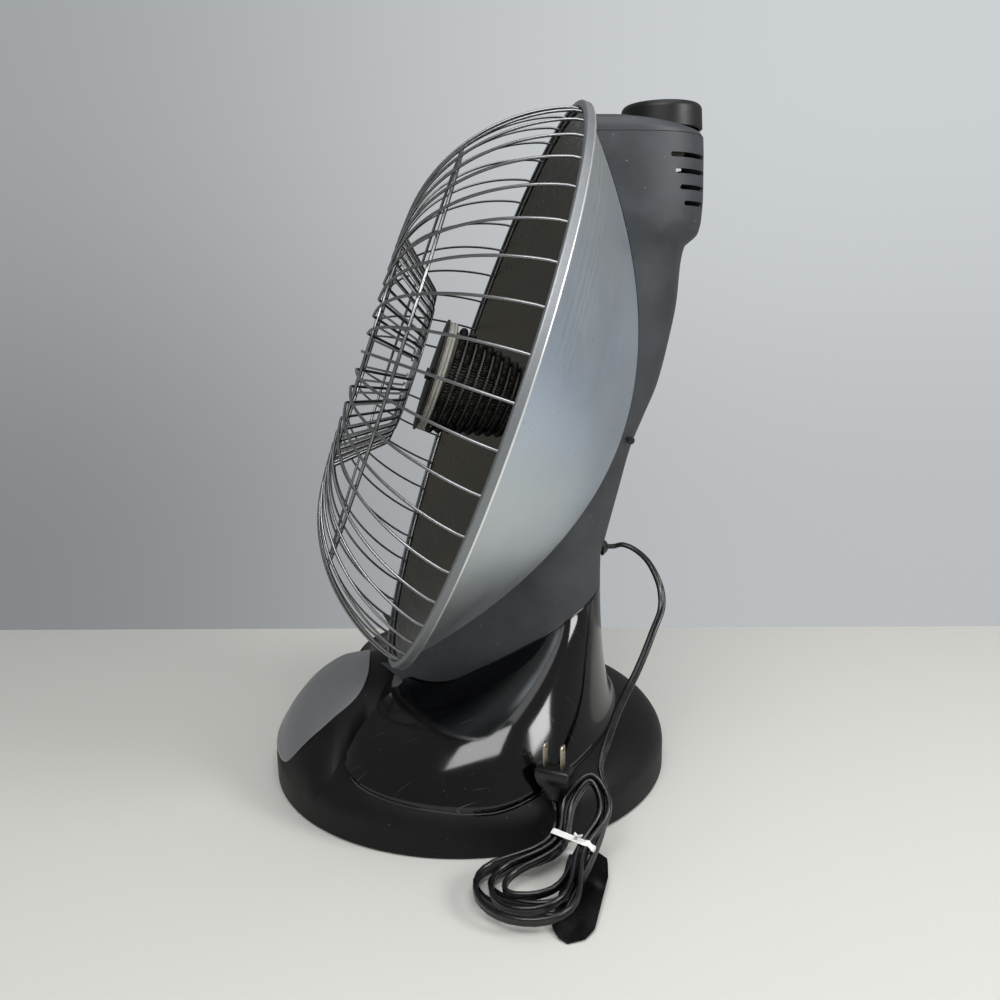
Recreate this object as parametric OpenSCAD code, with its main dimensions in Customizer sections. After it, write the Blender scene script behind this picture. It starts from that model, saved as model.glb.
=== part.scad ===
/* [Reflector] */
// Angle that the dish's axis leans back from level
dish_tilt = 20.3; // [16:0.1:24]
// Radius of the dish's mouth
dish_r = 219; // [210:1:226]
// Depth of the dish from its mouth to its apex
dish_depth = 112; // [100:1:120]
// Thickness of the spun sheet
dish_wall = 0.9; // [0.6:0.1:1.2]
// Distance of the dish's mouth behind the base's centre
dish_y = 10; // [4:1:16]
// Height of the rim's lowest point over the floor
rim_low_z = 96; // [94:1:102]

/* [Rim band] */
// Depth of the band from front to back
band_depth = 7; // [6:0.5:9]
// Thickness of the band's sheet
band_wall = 0.8; // [0.6:0.1:1]
// Width of the band's lips over the dish's mouth
band_lip = 5.6; // [5:0.1:6.5]

/* [Guard] */
// Number of guard wires
wire_count = 48; // [36:1:52]
// Diameter of a guard wire
wire_d = 2; // [1.6:0.1:2.4]
// Diameter of the guard's rings
ring_d = 2.5; // [2:0.1:3]
// Diameter of the wire ring inside the band
rim_ring_d = 3.2; // [2.8:0.1:3.6]
// How far the guard stands in front of the mouth
guard_depth = 90; // [80:1:100]
// Radius of the guard's front edge, where it turns back
guard_nose_r = 96; // [88:1:104]
// Depth of the cup's floor in front of the mouth
cup_z = 52; // [50:1:58]
// Radius of the cup's floor
cup_r = 61; // [58:1:66]
// Radius where the wires end on the disc
wire_end_r = 46; // [44:0.5:48]
// Radius of the disc in the middle of the guard
disc_r = 50; // [48:1:52]
// Thickness of that disc
disc_t = 1.2; // [0.8:0.1:2]

/* [Element] */
// Radius of the winding's first turn
coil_r1 = 40.5; // [39:0.5:41]
// Half-angle of the winding's taper
coil_taper = 14; // [11:0.5:16]
// Distance between turns along the axis
coil_pitch = 7.7; // [7:0.1:8.5]
// Number of turns
coil_turns = 9; // [6:1:10]
// Outer diameter of the wound wire
coil_d = 5; // [4:0.1:5.4]
// Distance of the first turn in front of the mouth
coil_front = 25; // [22:0.5:28]
// Radius of the ceramic ring in front of the cone
front_ring_r = 44; // [43:0.5:45]
// Thickness of the ceramic ring
front_ring_t = 7; // [6:0.5:8]
// Radius of the dark cap
cap_r = 45; // [44:0.5:46]
// Thickness of the dark cap
cap_t = 1.5; // [1:0.1:2]
// Radius of the cone's neck
core_neck_r = 21; // [19:0.5:22]
// Radius of the bolt through the cone
bolt_r = 2.5; // [2:0.5:3]

/* [Housing] */
// Thickness of the moulded walls
wall = 2.6; // [2:0.1:3]
// Half-width of the neck where housing and pedestal meet
neck_half_w = 70; // [66:1:73]
// Distance of the neck's rear behind the base's centre
neck_rear = 110; // [108:1:113]
// Height of the seam plane over the base's centre
seam_z = 100; // [97:1:103]
// How far the housing's top lies under the rim's top
head_drop = 9; // [8:0.5:12]
// Height of the top cover
cover_h = 19; // [16:0.5:20]
// Height of a vent slot
vent_h = 3.4; // [3:0.2:5]
// Distance between vent slots
vent_pitch = 11; // [9:0.5:12]
// Number of vent slots at each rear corner
vent_count = 4; // [2:1:4]

/* [Knob] */
// Radius of the control knob
knob_r = 31; // [28:0.5:32]
// Height of the control knob
knob_h = 20; // [18:0.5:24]
// Distance of the knob's axis behind the base's centre
knob_y = 157.5; // [156:0.5:159]
// Radius of the control shaft
shaft_r = 3; // [2.5:0.5:4]

/* [Base] */
// Radius of the round base
base_r = 162; // [158:1:168]
// Height of the base's upright edge
base_edge_h = 20; // [16:1:24]
// Height of the base's crown
base_crown = 62; // [60:1:63]
// Height of the rubber feet
foot_h = 2; // [1.5:0.5:3]
// Radius of a rubber foot
foot_r = 9; // [7:0.5:11]
// Thickness of the bottom plate
plate_t = 2.5; // [2:0.5:3]
// Half-width of the pedestal's skirt on the base
skirt_half_w = 159; // [154:1:160]

/* [Tip-over switch] */
// Radius of the plunger under the base
plunger_r = 4; // [3:0.5:5]
// Travel of the plunger when the heater is lifted
plunger_travel = 6; // [4:0.5:7]

/* [Cord] */
// Width of the flat twin cord
cord_w = 6.2; // [5.6:0.1:6.4]
// Thickness of the flat twin cord
cord_t = 3.4; // [3:0.1:3.6]

/* [Hidden] */
$fn = 64;

// Clearances
seat = 0.3;
running = 0.06;
seam_gap = 0.2;

// Places that follow from the sizes
tilt_s = sin(dish_tilt);
tilt_c = cos(dish_tilt);
band_r = dish_r + band_lip + band_wall;
band_back = -band_depth - 0.2;
dish_z = rim_low_z + band_r * tilt_c - band_back * tilt_s;
rim_top_z = dish_z + band_r * tilt_c;
head_top_z = rim_top_z - head_drop;
cover_z = head_top_z - cover_h;
flange_z = band_back + band_wall;
mouth_z = flange_z + dish_wall;
apex_z = mouth_z - dish_depth;
rim_ring_r = dish_r + 0.4 + seat + rim_ring_d / 2 + wire_d / 2;
wire_r = rim_ring_r - rim_ring_d / 2 - seat - wire_d / 2;
seam_slope = 0.5;
plate_z = foot_h;
floor_z = foot_h + plate_t;
head_reach = 77.5;
frame_y = (max(neck_rear + head_reach, knob_y + knob_r) - base_r) / 2;

// ---------- shared forms ----------

function unit(v) = v / norm(v);
function bezier(a, b, c, d, t) =
    pow(1 - t, 3) * a + 3 * pow(1 - t, 2) * t * b + 3 * (1 - t) * t * t * c + pow(t, 3) * d;
function mirrored(half) =
    concat(half, [for (i = [len(half) - 2 : -1 : 1]) [-half[i][0], each [for (k = [1 : len(half[i]) - 1]) half[i][k]]]]);

// A closed solid through rings that all have the same number of points
module loft(rings) {
    n = len(rings[0]);
    m = len(rings);
    points = [for (ring = rings) each ring];
    sides = [for (k = [0 : m - 2], i = [0 : n - 1])
        each [[k * n + i, (k + 1) * n + i, (k + 1) * n + (i + 1) % n],
              [k * n + i, (k + 1) * n + (i + 1) % n, k * n + (i + 1) % n]]];
    first_cap = [for (i = [1 : n - 2]) [0, i, i + 1]];
    last_cap = [for (i = [1 : n - 2]) [(m - 1) * n, (m - 1) * n + i + 1, (m - 1) * n + i]];
    polyhedron(points, concat(sides, first_cap, last_cap), convexity = 8);
}

function tangent(route, i) =
    unit(route[min(i + 1, len(route) - 1)] - route[max(i - 1, 0)]);
function cord_ring(centre, along, upward, w, t, sides) =
    let (side = unit(cross(along, upward)), top = cross(side, along))
    [for (k = [0 : sides - 1])
        let (a = 360 * (k + 0.5) / sides)
        centre + side * (w / 2 * cos(a)) + top * (t / 2 * sin(a))];

// A tube of width w and thickness t along a route, its thickness turned towards the upward lines
module tube(route, upward, w, t, sides) {
    loft([for (i = [len(route) - 1 : -1 : 0]) cord_ring(route[i], tangent(route, i), upward[i], w, t, sides)]);
}

module placed() {
    translate([0, -frame_y, 0]) children();
}

// The dish's own axis: z points out of its mouth and y up along it
module on_axis_only() {
    translate([0, dish_y, dish_z]) rotate([90 - dish_tilt, 0, 0]) children();
}
module on_dish_axis() {
    placed() on_axis_only() children();
}

// ---------- base ----------

base_bulge = 4.3;
crown_bulge = 1.9;
function base_top(rho, grow = 0) =
    let (r = base_r + grow, h = base_crown - base_edge_h + grow)
    base_edge_h + h * pow(max(0, 1 - pow(min(1, rho / r), base_bulge)), 1 / crown_bulge);

module puck(grow, low) {
    r = base_r + grow;
    h = base_crown - base_edge_h + grow;
    steps = 12;
    rotate_extrude($fn = 96)
        polygon(concat([[0, low], [r, low]],
            [for (i = [0 : steps])
                let (a = 90 * i / steps)
                [r * pow(cos(a), 2 / base_bulge), base_edge_h + h * pow(sin(a), 2 / crown_bulge)]]));
}

// Ramp stations from the front: distance behind the base's centre, half-width, ridge height
ramp_front = -base_r;
ramp_top = rim_low_z - 2.5;
ramp_low = base_edge_h;
ramp_stations = [[ramp_front + 1, 16, 23], [ramp_front + 4, 34, 32], [ramp_front + 8, 48, 40],
    [ramp_front + 15, 67, 49], [ramp_front + 28, 91, 62], [ramp_front + 41, 107, 70.5],
    [ramp_front + 53, 112, 77], [ramp_front + 63, 104, 81.5], [ramp_front + 71, 91, 85.5],
    [ramp_front + 79, 80, ramp_top - 5], [ramp_front + 92, 76, ramp_top - 1.6],
    [ramp_front + 107, 78, ramp_top], [ramp_front + 118, 78, ramp_top]];
ramp_steps = 14;
function ramp_ring(s, grow) = [for (i = [0 : ramp_steps])
    let (a = -90 + 180 * i / ramp_steps)
    [(s[1] + grow) * sin(a), s[0], ramp_low + (s[2] - ramp_low + grow) * cos(a)]];
module ramp(grow, back = 0) {
    ends = len(ramp_stations) - 1;
    loft([for (k = [0 : ends])
        let (s = ramp_stations[k], y = s[0] - (k == 0 ? grow : 0) + (k == ends ? back : 0))
        [for (p = ramp_ring(s, grow)) [p[0], y, p[2]]]]);
}

// Everything in front of the chin's sloping face
chin_y = -42;
chin_z = 79;
chin_lean = 46.8;
module before_chin(gap) {
    translate([0, chin_y - gap, chin_z]) rotate([chin_lean, 0, 0])
        translate([-120, -200, -120]) cube([240, 200, 280]);
}

boss_r = 4.6;
screw_r = 1.5;
base_screw_r = base_r - 34;
base_screw_angles = [30, 150, 270];
pedestal_bolts = [[59, 12], [59, 68]];
module at_base_screws() {
    for (a = base_screw_angles) rotate([0, 0, a]) translate([base_screw_r, 0, 0]) children();
}
module at_pedestal_bolts() {
    for (p = pedestal_bolts, side = [-1, 1]) translate([side * p[0], p[1], 0]) children();
}

module base_shell() color("#1b1b1c") placed() {
    difference() {
        union() {
            difference() {
                union() {
                    puck(0, plate_z);
                    intersection() {
                        ramp(0);
                        before_chin(seat);
                    }
                }
                puck(-wall, plate_z - 1);
                ramp(-wall, -wall);
            }
            intersection() {
                at_base_screws() translate([0, 0, floor_z]) cylinder(h = base_crown, r = boss_r);
                union() {
                    puck(-wall / 2, floor_z);
                    ramp(-wall / 2);
                }
            }
        }
        at_base_screws() translate([0, 0, floor_z - 1]) cylinder(h = 22, r = screw_r + 0.05);
        at_pedestal_bolts() translate([0, 0, base_edge_h]) cylinder(h = base_crown, r = screw_r + seat);
        translate([0, 40, base_edge_h]) cylinder(h = base_crown, r = 12);
    }
}

foot_ring_r = 138;
module at_feet() {
    for (a = [45 : 90 : 315]) rotate([0, 0, a]) translate([foot_ring_r, 0, 0]) children();
}
peg_r = 3;
tip_y = 112;

module base_plate() color("#2a2a2b") placed() difference() {
    translate([0, 0, plate_z]) cylinder(h = plate_t, r = base_r - wall - seat, $fn = 96);
    at_feet() cylinder(h = 20, r = peg_r + seat);
    at_base_screws() cylinder(h = 20, r = screw_r + seat);
    translate([0, tip_y, 0]) cylinder(h = 20, r = plunger_r + 1);
}

ballast_t = 5;
module ballast_plate() color("#77787a") placed() translate([0, 0, floor_z]) difference() {
    cylinder(h = ballast_t, r = 92);
    translate([0, 0, -1]) cylinder(h = ballast_t + 2, r = 30);
}

module rubber_feet() color("#101010") placed() at_feet() {
    cylinder(h = foot_h, r = foot_r);
    cylinder(h = floor_z + 2, r = peg_r);
}

module base_screws() color("#9a9b9d") placed() at_base_screws() {
    translate([0, 0, plate_z - 1.4]) cylinder(h = 1.4, r = 3.2);
    translate([0, 0, plate_z - 0.5]) cylinder(h = 16, r = screw_r);
}

// ---------- neck outline and pedestal ----------

// Half of the neck's outline in plan, from the front middle to the rear middle
front_spans = 3;
side_spans = 5;
rear_spans = 8;
function half_outline(front, corner, side, rear, k_side, k_rear) = concat(
    [for (i = [0 : front_spans - 1])
        bezier(front, [corner[0] * 0.5, front[1]], [corner[0] * 0.9, front[1]], corner, i / front_spans)],
    [for (i = [0 : side_spans - 1])
        bezier(corner, k_side[0], k_side[1], side, i / side_spans)],
    [for (i = [0 : rear_spans])
        bezier(side, [side[0], side[1] + k_rear * (rear[1] - side[1])],
            [k_rear * side[0], rear[1]], rear, i / rear_spans)]);

neck_front = -62;
neck_wide_y = 42;
function neck_outline(inset) =
    let (w = neck_half_w - inset, f = neck_front + inset, r = neck_rear - inset)
    half_outline([0, f], [w - 14, f + 12], [w, neck_wide_y], [0, r],
        [[w - 12, f + 37], [w, neck_wide_y - 35]], 0.62);
function skirt_outline(inset) =
    let (w = skirt_half_w - inset)
    half_outline([0, -78], [w - 59, -100], [w, 0], [0, neck_rear + 12 - inset],
        [[w - 31, -100], [w, -48]], 0.5);

skirt_edge = 2.4;
skirt_spans = 12;
function seam_at(y) = seam_z + seam_slope * y;
// Points of one ring of the pedestal, from its neck (u = 0) to its skirt (u = 1)
function pedestal_ring(u, inset, lift) =
    let (top = neck_outline(inset), low = skirt_outline(2 * inset))
    [for (i = [0 : len(top) - 1])
        let (p = top[i] + (low[i] - top[i]) * pow(u, 1.7),
             rise = seam_at(top[i][1]) - base_top(norm(top[i])) - skirt_edge + lift)
        [p[0], p[1], base_top(norm(p)) + skirt_edge - inset + (rise + inset) * pow(1 - u, 2.4)]];
module pedestal_body(inset, lift, last) {
    rings = [for (k = [0 : last]) mirrored(pedestal_ring(k / skirt_spans, inset, lift))];
    foot = [for (p = rings[last]) [p[0], p[1], base_edge_h / 2]];
    upward = concat(rings, [foot]);
    loft([for (k = [len(upward) - 1 : -1 : 0]) upward[k]]);
}

hollow_spans = 7;
hollow_front = -30;
rib_t = 3;
module pedestal_shell() color("#0a0a0b") placed() difference() {
    union() {
        difference() {
            pedestal_body(0, -seam_gap, skirt_spans);
            intersection() {
                pedestal_body(wall, 4, hollow_spans);
                translate([-base_r, hollow_front, 0]) cube([2 * base_r, 2 * base_r, 2 * base_r]);
            }
        }
        intersection() {
            for (p = pedestal_bolts, side = [0, 1]) mirror([side, 0, 0]) translate([p[0], p[1], 0]) {
                cylinder(h = 200, r = boss_r);
                translate([0, -rib_t / 2, 0]) cube([20, rib_t, 200]);
            }
            pedestal_body(wall / 2, -seam_gap - 1, hollow_spans);
        }
    }
    puck(seat, 0);
    ramp(seat, 6);
    at_pedestal_bolts() cylinder(h = 200, r = screw_r + seat);
}

module pedestal_screws() color("#9a9b9d") placed() at_pedestal_bolts() {
    top = base_top(59) - wall;
    translate([0, 0, top - 5]) cylinder(h = 2.6, r = 3.4);
    translate([0, 0, top - 3]) cylinder(h = 86, r = screw_r);
}

badge_t = 1;
module badge_outline() {
    intersection() {
        hull() {
            translate([0, ramp_front + 73]) scale([1, 0.4]) circle(r = 30, $fn = 32);
            translate([0, ramp_front + 54]) scale([1, 0.3]) circle(r = 58, $fn = 32);
            translate([0, ramp_front + 30]) scale([1, 0.3]) circle(r = 74, $fn = 32);
            translate([0, ramp_front + 12]) scale([1, 0.3]) circle(r = 56, $fn = 32);
        }
        circle(r = base_r - 0.4, $fn = 96);
    }
}
module badge_plate() color("#b9babb") placed() intersection() {
    difference() {
        union() {
            ramp(seat + badge_t);
            puck(seat + badge_t, base_edge_h);
        }
        ramp(seat, 4);
        puck(seat, 0);
    }
    translate([0, 0, base_edge_h]) linear_extrude(height = 80) badge_outline();
}

// ---------- housing ----------

// Stations up the housing's spine: share of its height, rear, half-width, widest place, fullness
head_low_z = seam_at(neck_rear);
function head_z(share) = head_low_z + share * (head_top_z - head_low_z);
head_stations = [
    [-0.27, 0, 0, neck_wide_y, 0.62], [-0.13, 0, 0, neck_wide_y, 0.62], [0, 0, -1.5, 46, 0.61],
    [0.055, 0.5, -5, 50, 0.6], [0.1, 5, -8, 55, 0.59], [0.2, 15, -11, 65, 0.58],
    [0.3, 25, -13.5, 78, 0.57], [0.37, 35.5, -15, 88, 0.57], [0.44, 46, -15, 98, 0.57],
    [0.53, 54, -15, 108, 0.58], [0.62, 60, -14.5, 114, 0.59], [0.695, 62, -14, 118, 0.6],
    [0.73, 64.5, -12.5, 120, 0.61], [0.755, 74, -9.5, 124, 0.63], [0.78, 76.5, -8.5, 124, 0.64],
    [0.83, head_reach, -8, 124, 0.65], [0.92, 77, -8, 124, 0.65]];
cover_stations = [[0, 76.5, -8, 124, 0.65], [0.25, 74.5, -8, 123, 0.64], [0.5, 66, -8.5, 121, 0.63],
    [0.75, 52, -10.5, 116, 0.62], [1, 27, -18, 108, 0.6]];
head_front = -90;
function head_outline(s, z, inset) =
    let (w = neck_half_w + s[2] - inset, f = head_front, share = min(1, max(0, (z - head_low_z) / 60)))
    mirrored([for (p = half_outline([0, f], [w - 14 * (1 - share), f + 12], [w, s[3]],
            [0, neck_rear + s[1] - inset], [[w - 12 * (1 - share), f + 60], [w, s[3] - 35]], s[4]))
        [p[0], p[1], z]]);

module head_body(inset) {
    loft([for (s = head_stations) head_outline(s, head_z(s[0]), inset),
        head_outline(cover_stations[0], cover_z + (inset > 0 ? 1 : 0), inset)]);
}
module cover_body(inset) {
    low = inset > 0 ? -1 : 0;
    loft([for (s = cover_stations)
        head_outline(s, cover_z + (s[0] == 0 ? low : s[0] * (cover_h - inset)), inset)]);
}

function dish_in(r) = apex_z + dish_depth * pow(r / dish_r, 2);

// The bracket behind the dish, its ears and the screws that hold them in the housing
bracket_t = 2;
bracket_half_w = 24;
bracket_low = 143 - dish_r;
bracket_high = 32;
collar_t = 1.6;
bracket_z = apex_z - dish_wall - collar_t;
ear = [4.2, bracket_z - 3.5];
side_screw = [dish_y + ear[0] * tilt_s - ear[1] * tilt_c, dish_z + ear[0] * tilt_c + ear[1] * tilt_s];
screw_seat_x = 38.6;

// The dish and its band, grown by the seat, with the whole space before them
module dish_keepout() {
    back = dish_wall + seat;
    steps = 16;
    on_axis_only() rotate_extrude($fn = 96)
        polygon(concat(
            [for (i = [0 : steps])
                let (r = (dish_r - 1) * i / steps)
                [r, apex_z + dish_depth * pow(r / dish_r, 2) - back * (1 + 0.4 * r / dish_r)]],
            [[dish_r - 1, band_back - seat], [band_r + seat, band_back - seat], [band_r + seat, 400], [0, 400]]));
}
module below_seam(gap) {
    translate([0, 0, seam_z + gap]) rotate([atan(seam_slope), 0, 0])
        translate([-120, -200, -150]) cube([240, 400, 150]);
}

vent_low_z = cover_z - 15 - (vent_count - 1) * vent_pitch;
vent_step = 4;
vent_start = 149;
vent_inner_x = 24;
module vents() {
    for (k = [0 : vent_count - 1], side = [0, 1]) mirror([side, 0, 0])
        translate([vent_inner_x, vent_start + vent_step * (vent_count - 1 - k),
            vent_low_z + k * vent_pitch - vent_h / 2]) cube([60, 60, vent_h]);
}

relief_z = 176;
relief_r = 6.2;
module head_shell() color("#2c2d30") placed() difference() {
    union() {
        difference() {
            head_body(0);
            difference() {
                head_body(wall);
                before_chin(-wall);
            }
        }
        intersection() {
            at_pedestal_bolts() translate([0, 0, 60]) cylinder(h = 100, r = boss_r);
            head_body(0.5);
        }
    }
    dish_keepout();
    below_seam(0);
    before_chin(0);
    vents();
    translate([0, neck_rear - 20, relief_z]) rotate([-90, 0, 0]) cylinder(h = 60, r = relief_r + 0.1);
    at_pedestal_bolts() translate([0, 0, 50]) cylinder(h = 102, r = screw_r + 0.05);
    for (side = [-1, 1]) translate([0, side_screw[0], side_screw[1]]) rotate([0, side * 90, 0]) {
        translate([0, 0, 20]) cylinder(h = 40, r = screw_r + 0.1);
        translate([0, 0, screw_seat_x]) cylinder(h = 30, r = 4);
    }
}

knob_floor_z = cover_z + 5;
recess_r = knob_r + 2.5;
bushing_r = 5;
module head_cap() color("#242527") placed() difference() {
    union() {
        difference() {
            cover_body(0);
            cover_body(wall);
        }
        intersection() {
            translate([0, knob_y, cover_z]) cylinder(h = cover_h, r = recess_r + wall);
            cover_body(0);
        }
    }
    dish_keepout();
    translate([0, knob_y, cover_z - 1]) cylinder(h = knob_floor_z - wall - cover_z + 1, r = recess_r);
    translate([0, knob_y, knob_floor_z]) cylinder(h = cover_h, r = recess_r);
    translate([0, knob_y, cover_z]) cylinder(h = cover_h, r = bushing_r + seat);
}

module head_screws() color("#8d8e90") placed() for (side = [-1, 1])
    translate([0, side_screw[0], side_screw[1]]) rotate([0, side * 90, 0]) {
        translate([0, 0, screw_seat_x]) cylinder(h = 1.6, r = 3);
        translate([0, 0, bracket_half_w - 2]) cylinder(h = screw_seat_x - bracket_half_w + 2.5, r = screw_r);
    }

// ---------- reflector, band and guard ----------

module dish_reflector() color("#a9abad") on_dish_axis() {
    steps = 18;
    hole_r = core_neck_r + 2;

    rotate_extrude($fn = 96)
        polygon(concat(
            [for (i = [0 : steps])
                let (r = hole_r + (dish_r - 1 - hole_r) * i / steps)
                [r, dish_in(r) - dish_wall]],
            [[dish_r, flange_z], [band_r - band_wall - seat, flange_z], [band_r - band_wall - seat, mouth_z]],
            [for (i = [steps : -1 : 0])
                let (r = hole_r + (dish_r - hole_r) * i / steps)
                [r, dish_in(r)]]));
}

module rim_band() color("#b4b6b8") on_dish_axis() {
    lip_r = dish_r + 2;
    bend = 1.5;
    rotate_extrude($fn = 96)
        polygon(concat(
            [[lip_r, band_back]],
            [for (a = [-90 : 30 : 0]) [band_r - bend + bend * cos(a), band_back + bend + bend * sin(a)]],
            [for (a = [0 : 30 : 90]) [band_r - bend + bend * cos(a), -0.2 - bend + bend * sin(a)]],
            [[lip_r, -0.2], [lip_r, -0.2 - band_wall], [band_r - band_wall, -0.2 - band_wall],
             [band_r - band_wall, band_back + band_wall], [lip_r, band_back + band_wall]]));
}

module wire_ring(r, z, d) {
    translate([0, 0, z]) rotate_extrude($fn = 96) translate([r, 0]) circle(d = d, $fn = 24);
}

module guard_rim_ring() color("#c9cbcd") on_dish_axis()
    wire_ring(rim_ring_r, mouth_z + rim_ring_d / 2, rim_ring_d);

// A guard wire's line in its own plane, as [radius, height before the mouth]
shoulder = [206, 42];
brow = [160, guard_depth + 2];
bow_spans = 6;
function bow(t) = bezier([wire_r, 0], [wire_r + shoulder[0] - dish_r, shoulder[1]], brow, [guard_nose_r, guard_depth], t);
nose_bend = 5;
cup_bend = 8;
cup_line = unit([cup_r - guard_nose_r, cup_z - guard_depth]);
wire_line = concat(
    [[wire_r, mouth_z + rim_ring_d / 2]],
    [for (i = [1 : bow_spans]) bow(i / bow_spans) - (i == bow_spans ? [-1.5, 0] : [0, 0])],
    [[guard_nose_r, guard_depth] + cup_line * nose_bend + [0, 0.8],
     [cup_r, cup_z] - cup_line * cup_bend,
     [cup_r - cup_bend, cup_z],
     [wire_end_r, cup_z]]);

module guard_wires() color("#d7d9db") on_dish_axis()
    for (k = [0 : wire_count - 1]) rotate([0, 0, 90 + 360 * (k + 0.5) / wire_count])
        wire_tube();
module wire_tube() {
    sides = 6;
    ends = len(wire_line) - 1;
    loft([for (i = [0 : ends])
        let (p = wire_line[i],
             along = unit(wire_line[min(i + 1, ends)] - wire_line[max(i - 1, 0)]),
             out = [along[1], -along[0]])
        [for (k = [0 : sides - 1])
            let (a = 360 * (k + 0.5) / sides, q = p + out * (wire_d / 2 * cos(a)))
            [q[0], wire_d / 2 * sin(a), q[1]]]]);
}

// Rings lie behind the wires
ring_back = (wire_d + ring_d) / 2 + seat;
outer_ring_t = 0.58;
function bow_normal(t) =
    let (d = unit(bow(t + 0.01) - bow(t - 0.01))) [d[1], -d[0]];
module guard_ring_outer() color("#d7d9db") on_dish_axis() {
    p = bow(outer_ring_t) - ring_back * bow_normal(outer_ring_t) * sign(bow_normal(outer_ring_t)[1]);
    wire_ring(p[0], p[1], ring_d);
}
module guard_ring_inner() color("#d7d9db") on_dish_axis()
    wire_ring(guard_nose_r + 1.5, guard_depth - ring_back, ring_d);

module guard_disc() color("#c4c5c6") on_dish_axis()
    translate([0, 0, cup_z - wire_d / 2 - seat - disc_t]) cylinder(h = disc_t, r = disc_r);

// ---------- heating element ----------

taper = tan(coil_taper);
coil_back = coil_front - coil_pitch * (coil_turns - 1);
cone_front = coil_front + coil_d / 2 + 0.5;
cone_back = coil_back - coil_d;
function coil_radius(z) = coil_r1 + (z - coil_front) * taper;
function cone_radius(z) = coil_radius(z) - (coil_d / 2 + seat) / cos(coil_taper);

module element_core() color("#d9d4c8") on_dish_axis() rotate_extrude()
    polygon([[bolt_r + seat, bracket_z], [core_neck_r, bracket_z], [core_neck_r, cone_back - 4],
        [cone_radius(cone_back) + 1, cone_back - 2], [cone_radius(cone_back) + 1, cone_back],
        [cone_radius(cone_back), cone_back], [cone_radius(cone_front), cone_front],
        [bolt_r + seat, cone_front]]);

coil_rings = 24;
coil_route = [for (i = [0 : coil_rings * (coil_turns - 1)])
    let (a = 360 * i / coil_rings, z = coil_front - coil_pitch * i / coil_rings, r = coil_radius(z))
    [r * cos(a), r * sin(a), z]];
module element_coil() color("#2b2a29") on_dish_axis() {
    ends = len(coil_route) - 1;
    sides = 6;
    loft([for (i = [0 : ends])
        let (p = coil_route[i], out = unit([p[0], p[1], 0]))
        [for (k = [0 : sides - 1])
            let (a = -360 * (k + 0.5) / sides)
            p + out * (coil_d / 2 * cos(a)) + [0, 0, coil_d / 2 * sin(a)]]]);
}

module element_front_ring() color("#e2ddd2") on_dish_axis() translate([0, 0, cone_front]) rotate_extrude() {
    r = front_ring_r;
    t = front_ring_t;
    polygon([[bolt_r + seat, 0], [r - 1.5, 0], [r, 1], [r, t * 0.3], [r - 1.6, t * 0.34], [r - 1.6, t * 0.46],
        [r, t * 0.5], [r, t * 0.7], [r - 1.6, t * 0.74], [r - 1.6, t * 0.84], [r, t * 0.88], [r - 0.4, t],
        [bolt_r + seat, t]]);
}

module element_cap() color("#3b3c3e") on_dish_axis()
    translate([0, 0, cone_front + front_ring_t]) difference() {
        cylinder(h = cap_t, r = cap_r);
        translate([0, 0, -1]) cylinder(h = cap_t + 2, r = bolt_r + seat);
    }

module element_bolt() color("#a5a6a8") on_dish_axis() {
    face = cone_front + front_ring_t + cap_t;
    translate([0, 0, bracket_z - bracket_t - 3]) cylinder(h = 3, r = 2 * bolt_r, $fn = 6);
    translate([0, 0, bracket_z - bracket_t - 1]) cylinder(h = face + 3 - bracket_z + bracket_t + 1, r = bolt_r);
    translate([0, 0, face]) cylinder(h = 4, r = 2 * bolt_r, $fn = 6);
}

module element_collar() color("#9fa1a3") on_dish_axis() translate([0, 0, bracket_z]) difference() {
    cylinder(h = collar_t - seat, r = core_neck_r + 9);
    translate([0, 0, -1]) cylinder(h = 6, r = core_neck_r + seat);
}

module dish_bracket() color("#9fa1a3") difference() {
    on_dish_axis() difference() {
        union() {
            translate([-bracket_half_w, bracket_low, bracket_z - bracket_t])
                cube([2 * bracket_half_w, bracket_high - bracket_low, bracket_t]);
            for (side = [-1, 1])
                translate([side * (bracket_half_w - 1) - 1, ear[0] - 6.5, bracket_z - bracket_t - 4]) cube([2, 13, 5]);
        }
        translate([0, 0, bracket_z - 10]) cylinder(h = 20, r = bolt_r + seat);
    }
    placed() translate([0, side_screw[0], side_screw[1]]) rotate([0, 90, 0])
        cylinder(h = 200, r = screw_r + seat, center = true);
}

module terminal_block() color("#e6e2d6") on_dish_axis() translate([-15, bracket_low + 4, bracket_z]) difference() {
    cube([30, 17, dish_in(-bracket_low - 4 - 17) - dish_wall - seat - bracket_z]);
    for (x = [7.5, 22.5]) translate([x, 8.5, 3]) cylinder(h = 10, r = 2.5);
}

// ---------- control ----------

stack_z = knob_floor_z - wall;
module thermostat() color("#c9b27a") placed() translate([0, knob_y, 0]) difference() {
    union() {
        translate([-16, -14, stack_z - 18]) cube([32, 28, 18]);
        translate([0, 0, stack_z - 1]) cylinder(h = wall + 4, r = bushing_r);
    }
    translate([0, 0, stack_z - 12]) cylinder(h = 30, r = shaft_r + running);
}

module thermostat_nut() color("#b8b9bb") placed() translate([0, knob_y, knob_floor_z]) difference() {
    cylinder(h = 2.2, r = 8, $fn = 6);
    translate([0, 0, -1]) cylinder(h = 5, r = bushing_r + 0.05);
}

knob_z = knob_floor_z + 4;
module control_shaft() color("#b8b9bb") placed() translate([0, knob_y, stack_z - 11.7])
    cylinder(h = knob_z + knob_h - 6 - stack_z + 11.7, r = shaft_r);

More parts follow.
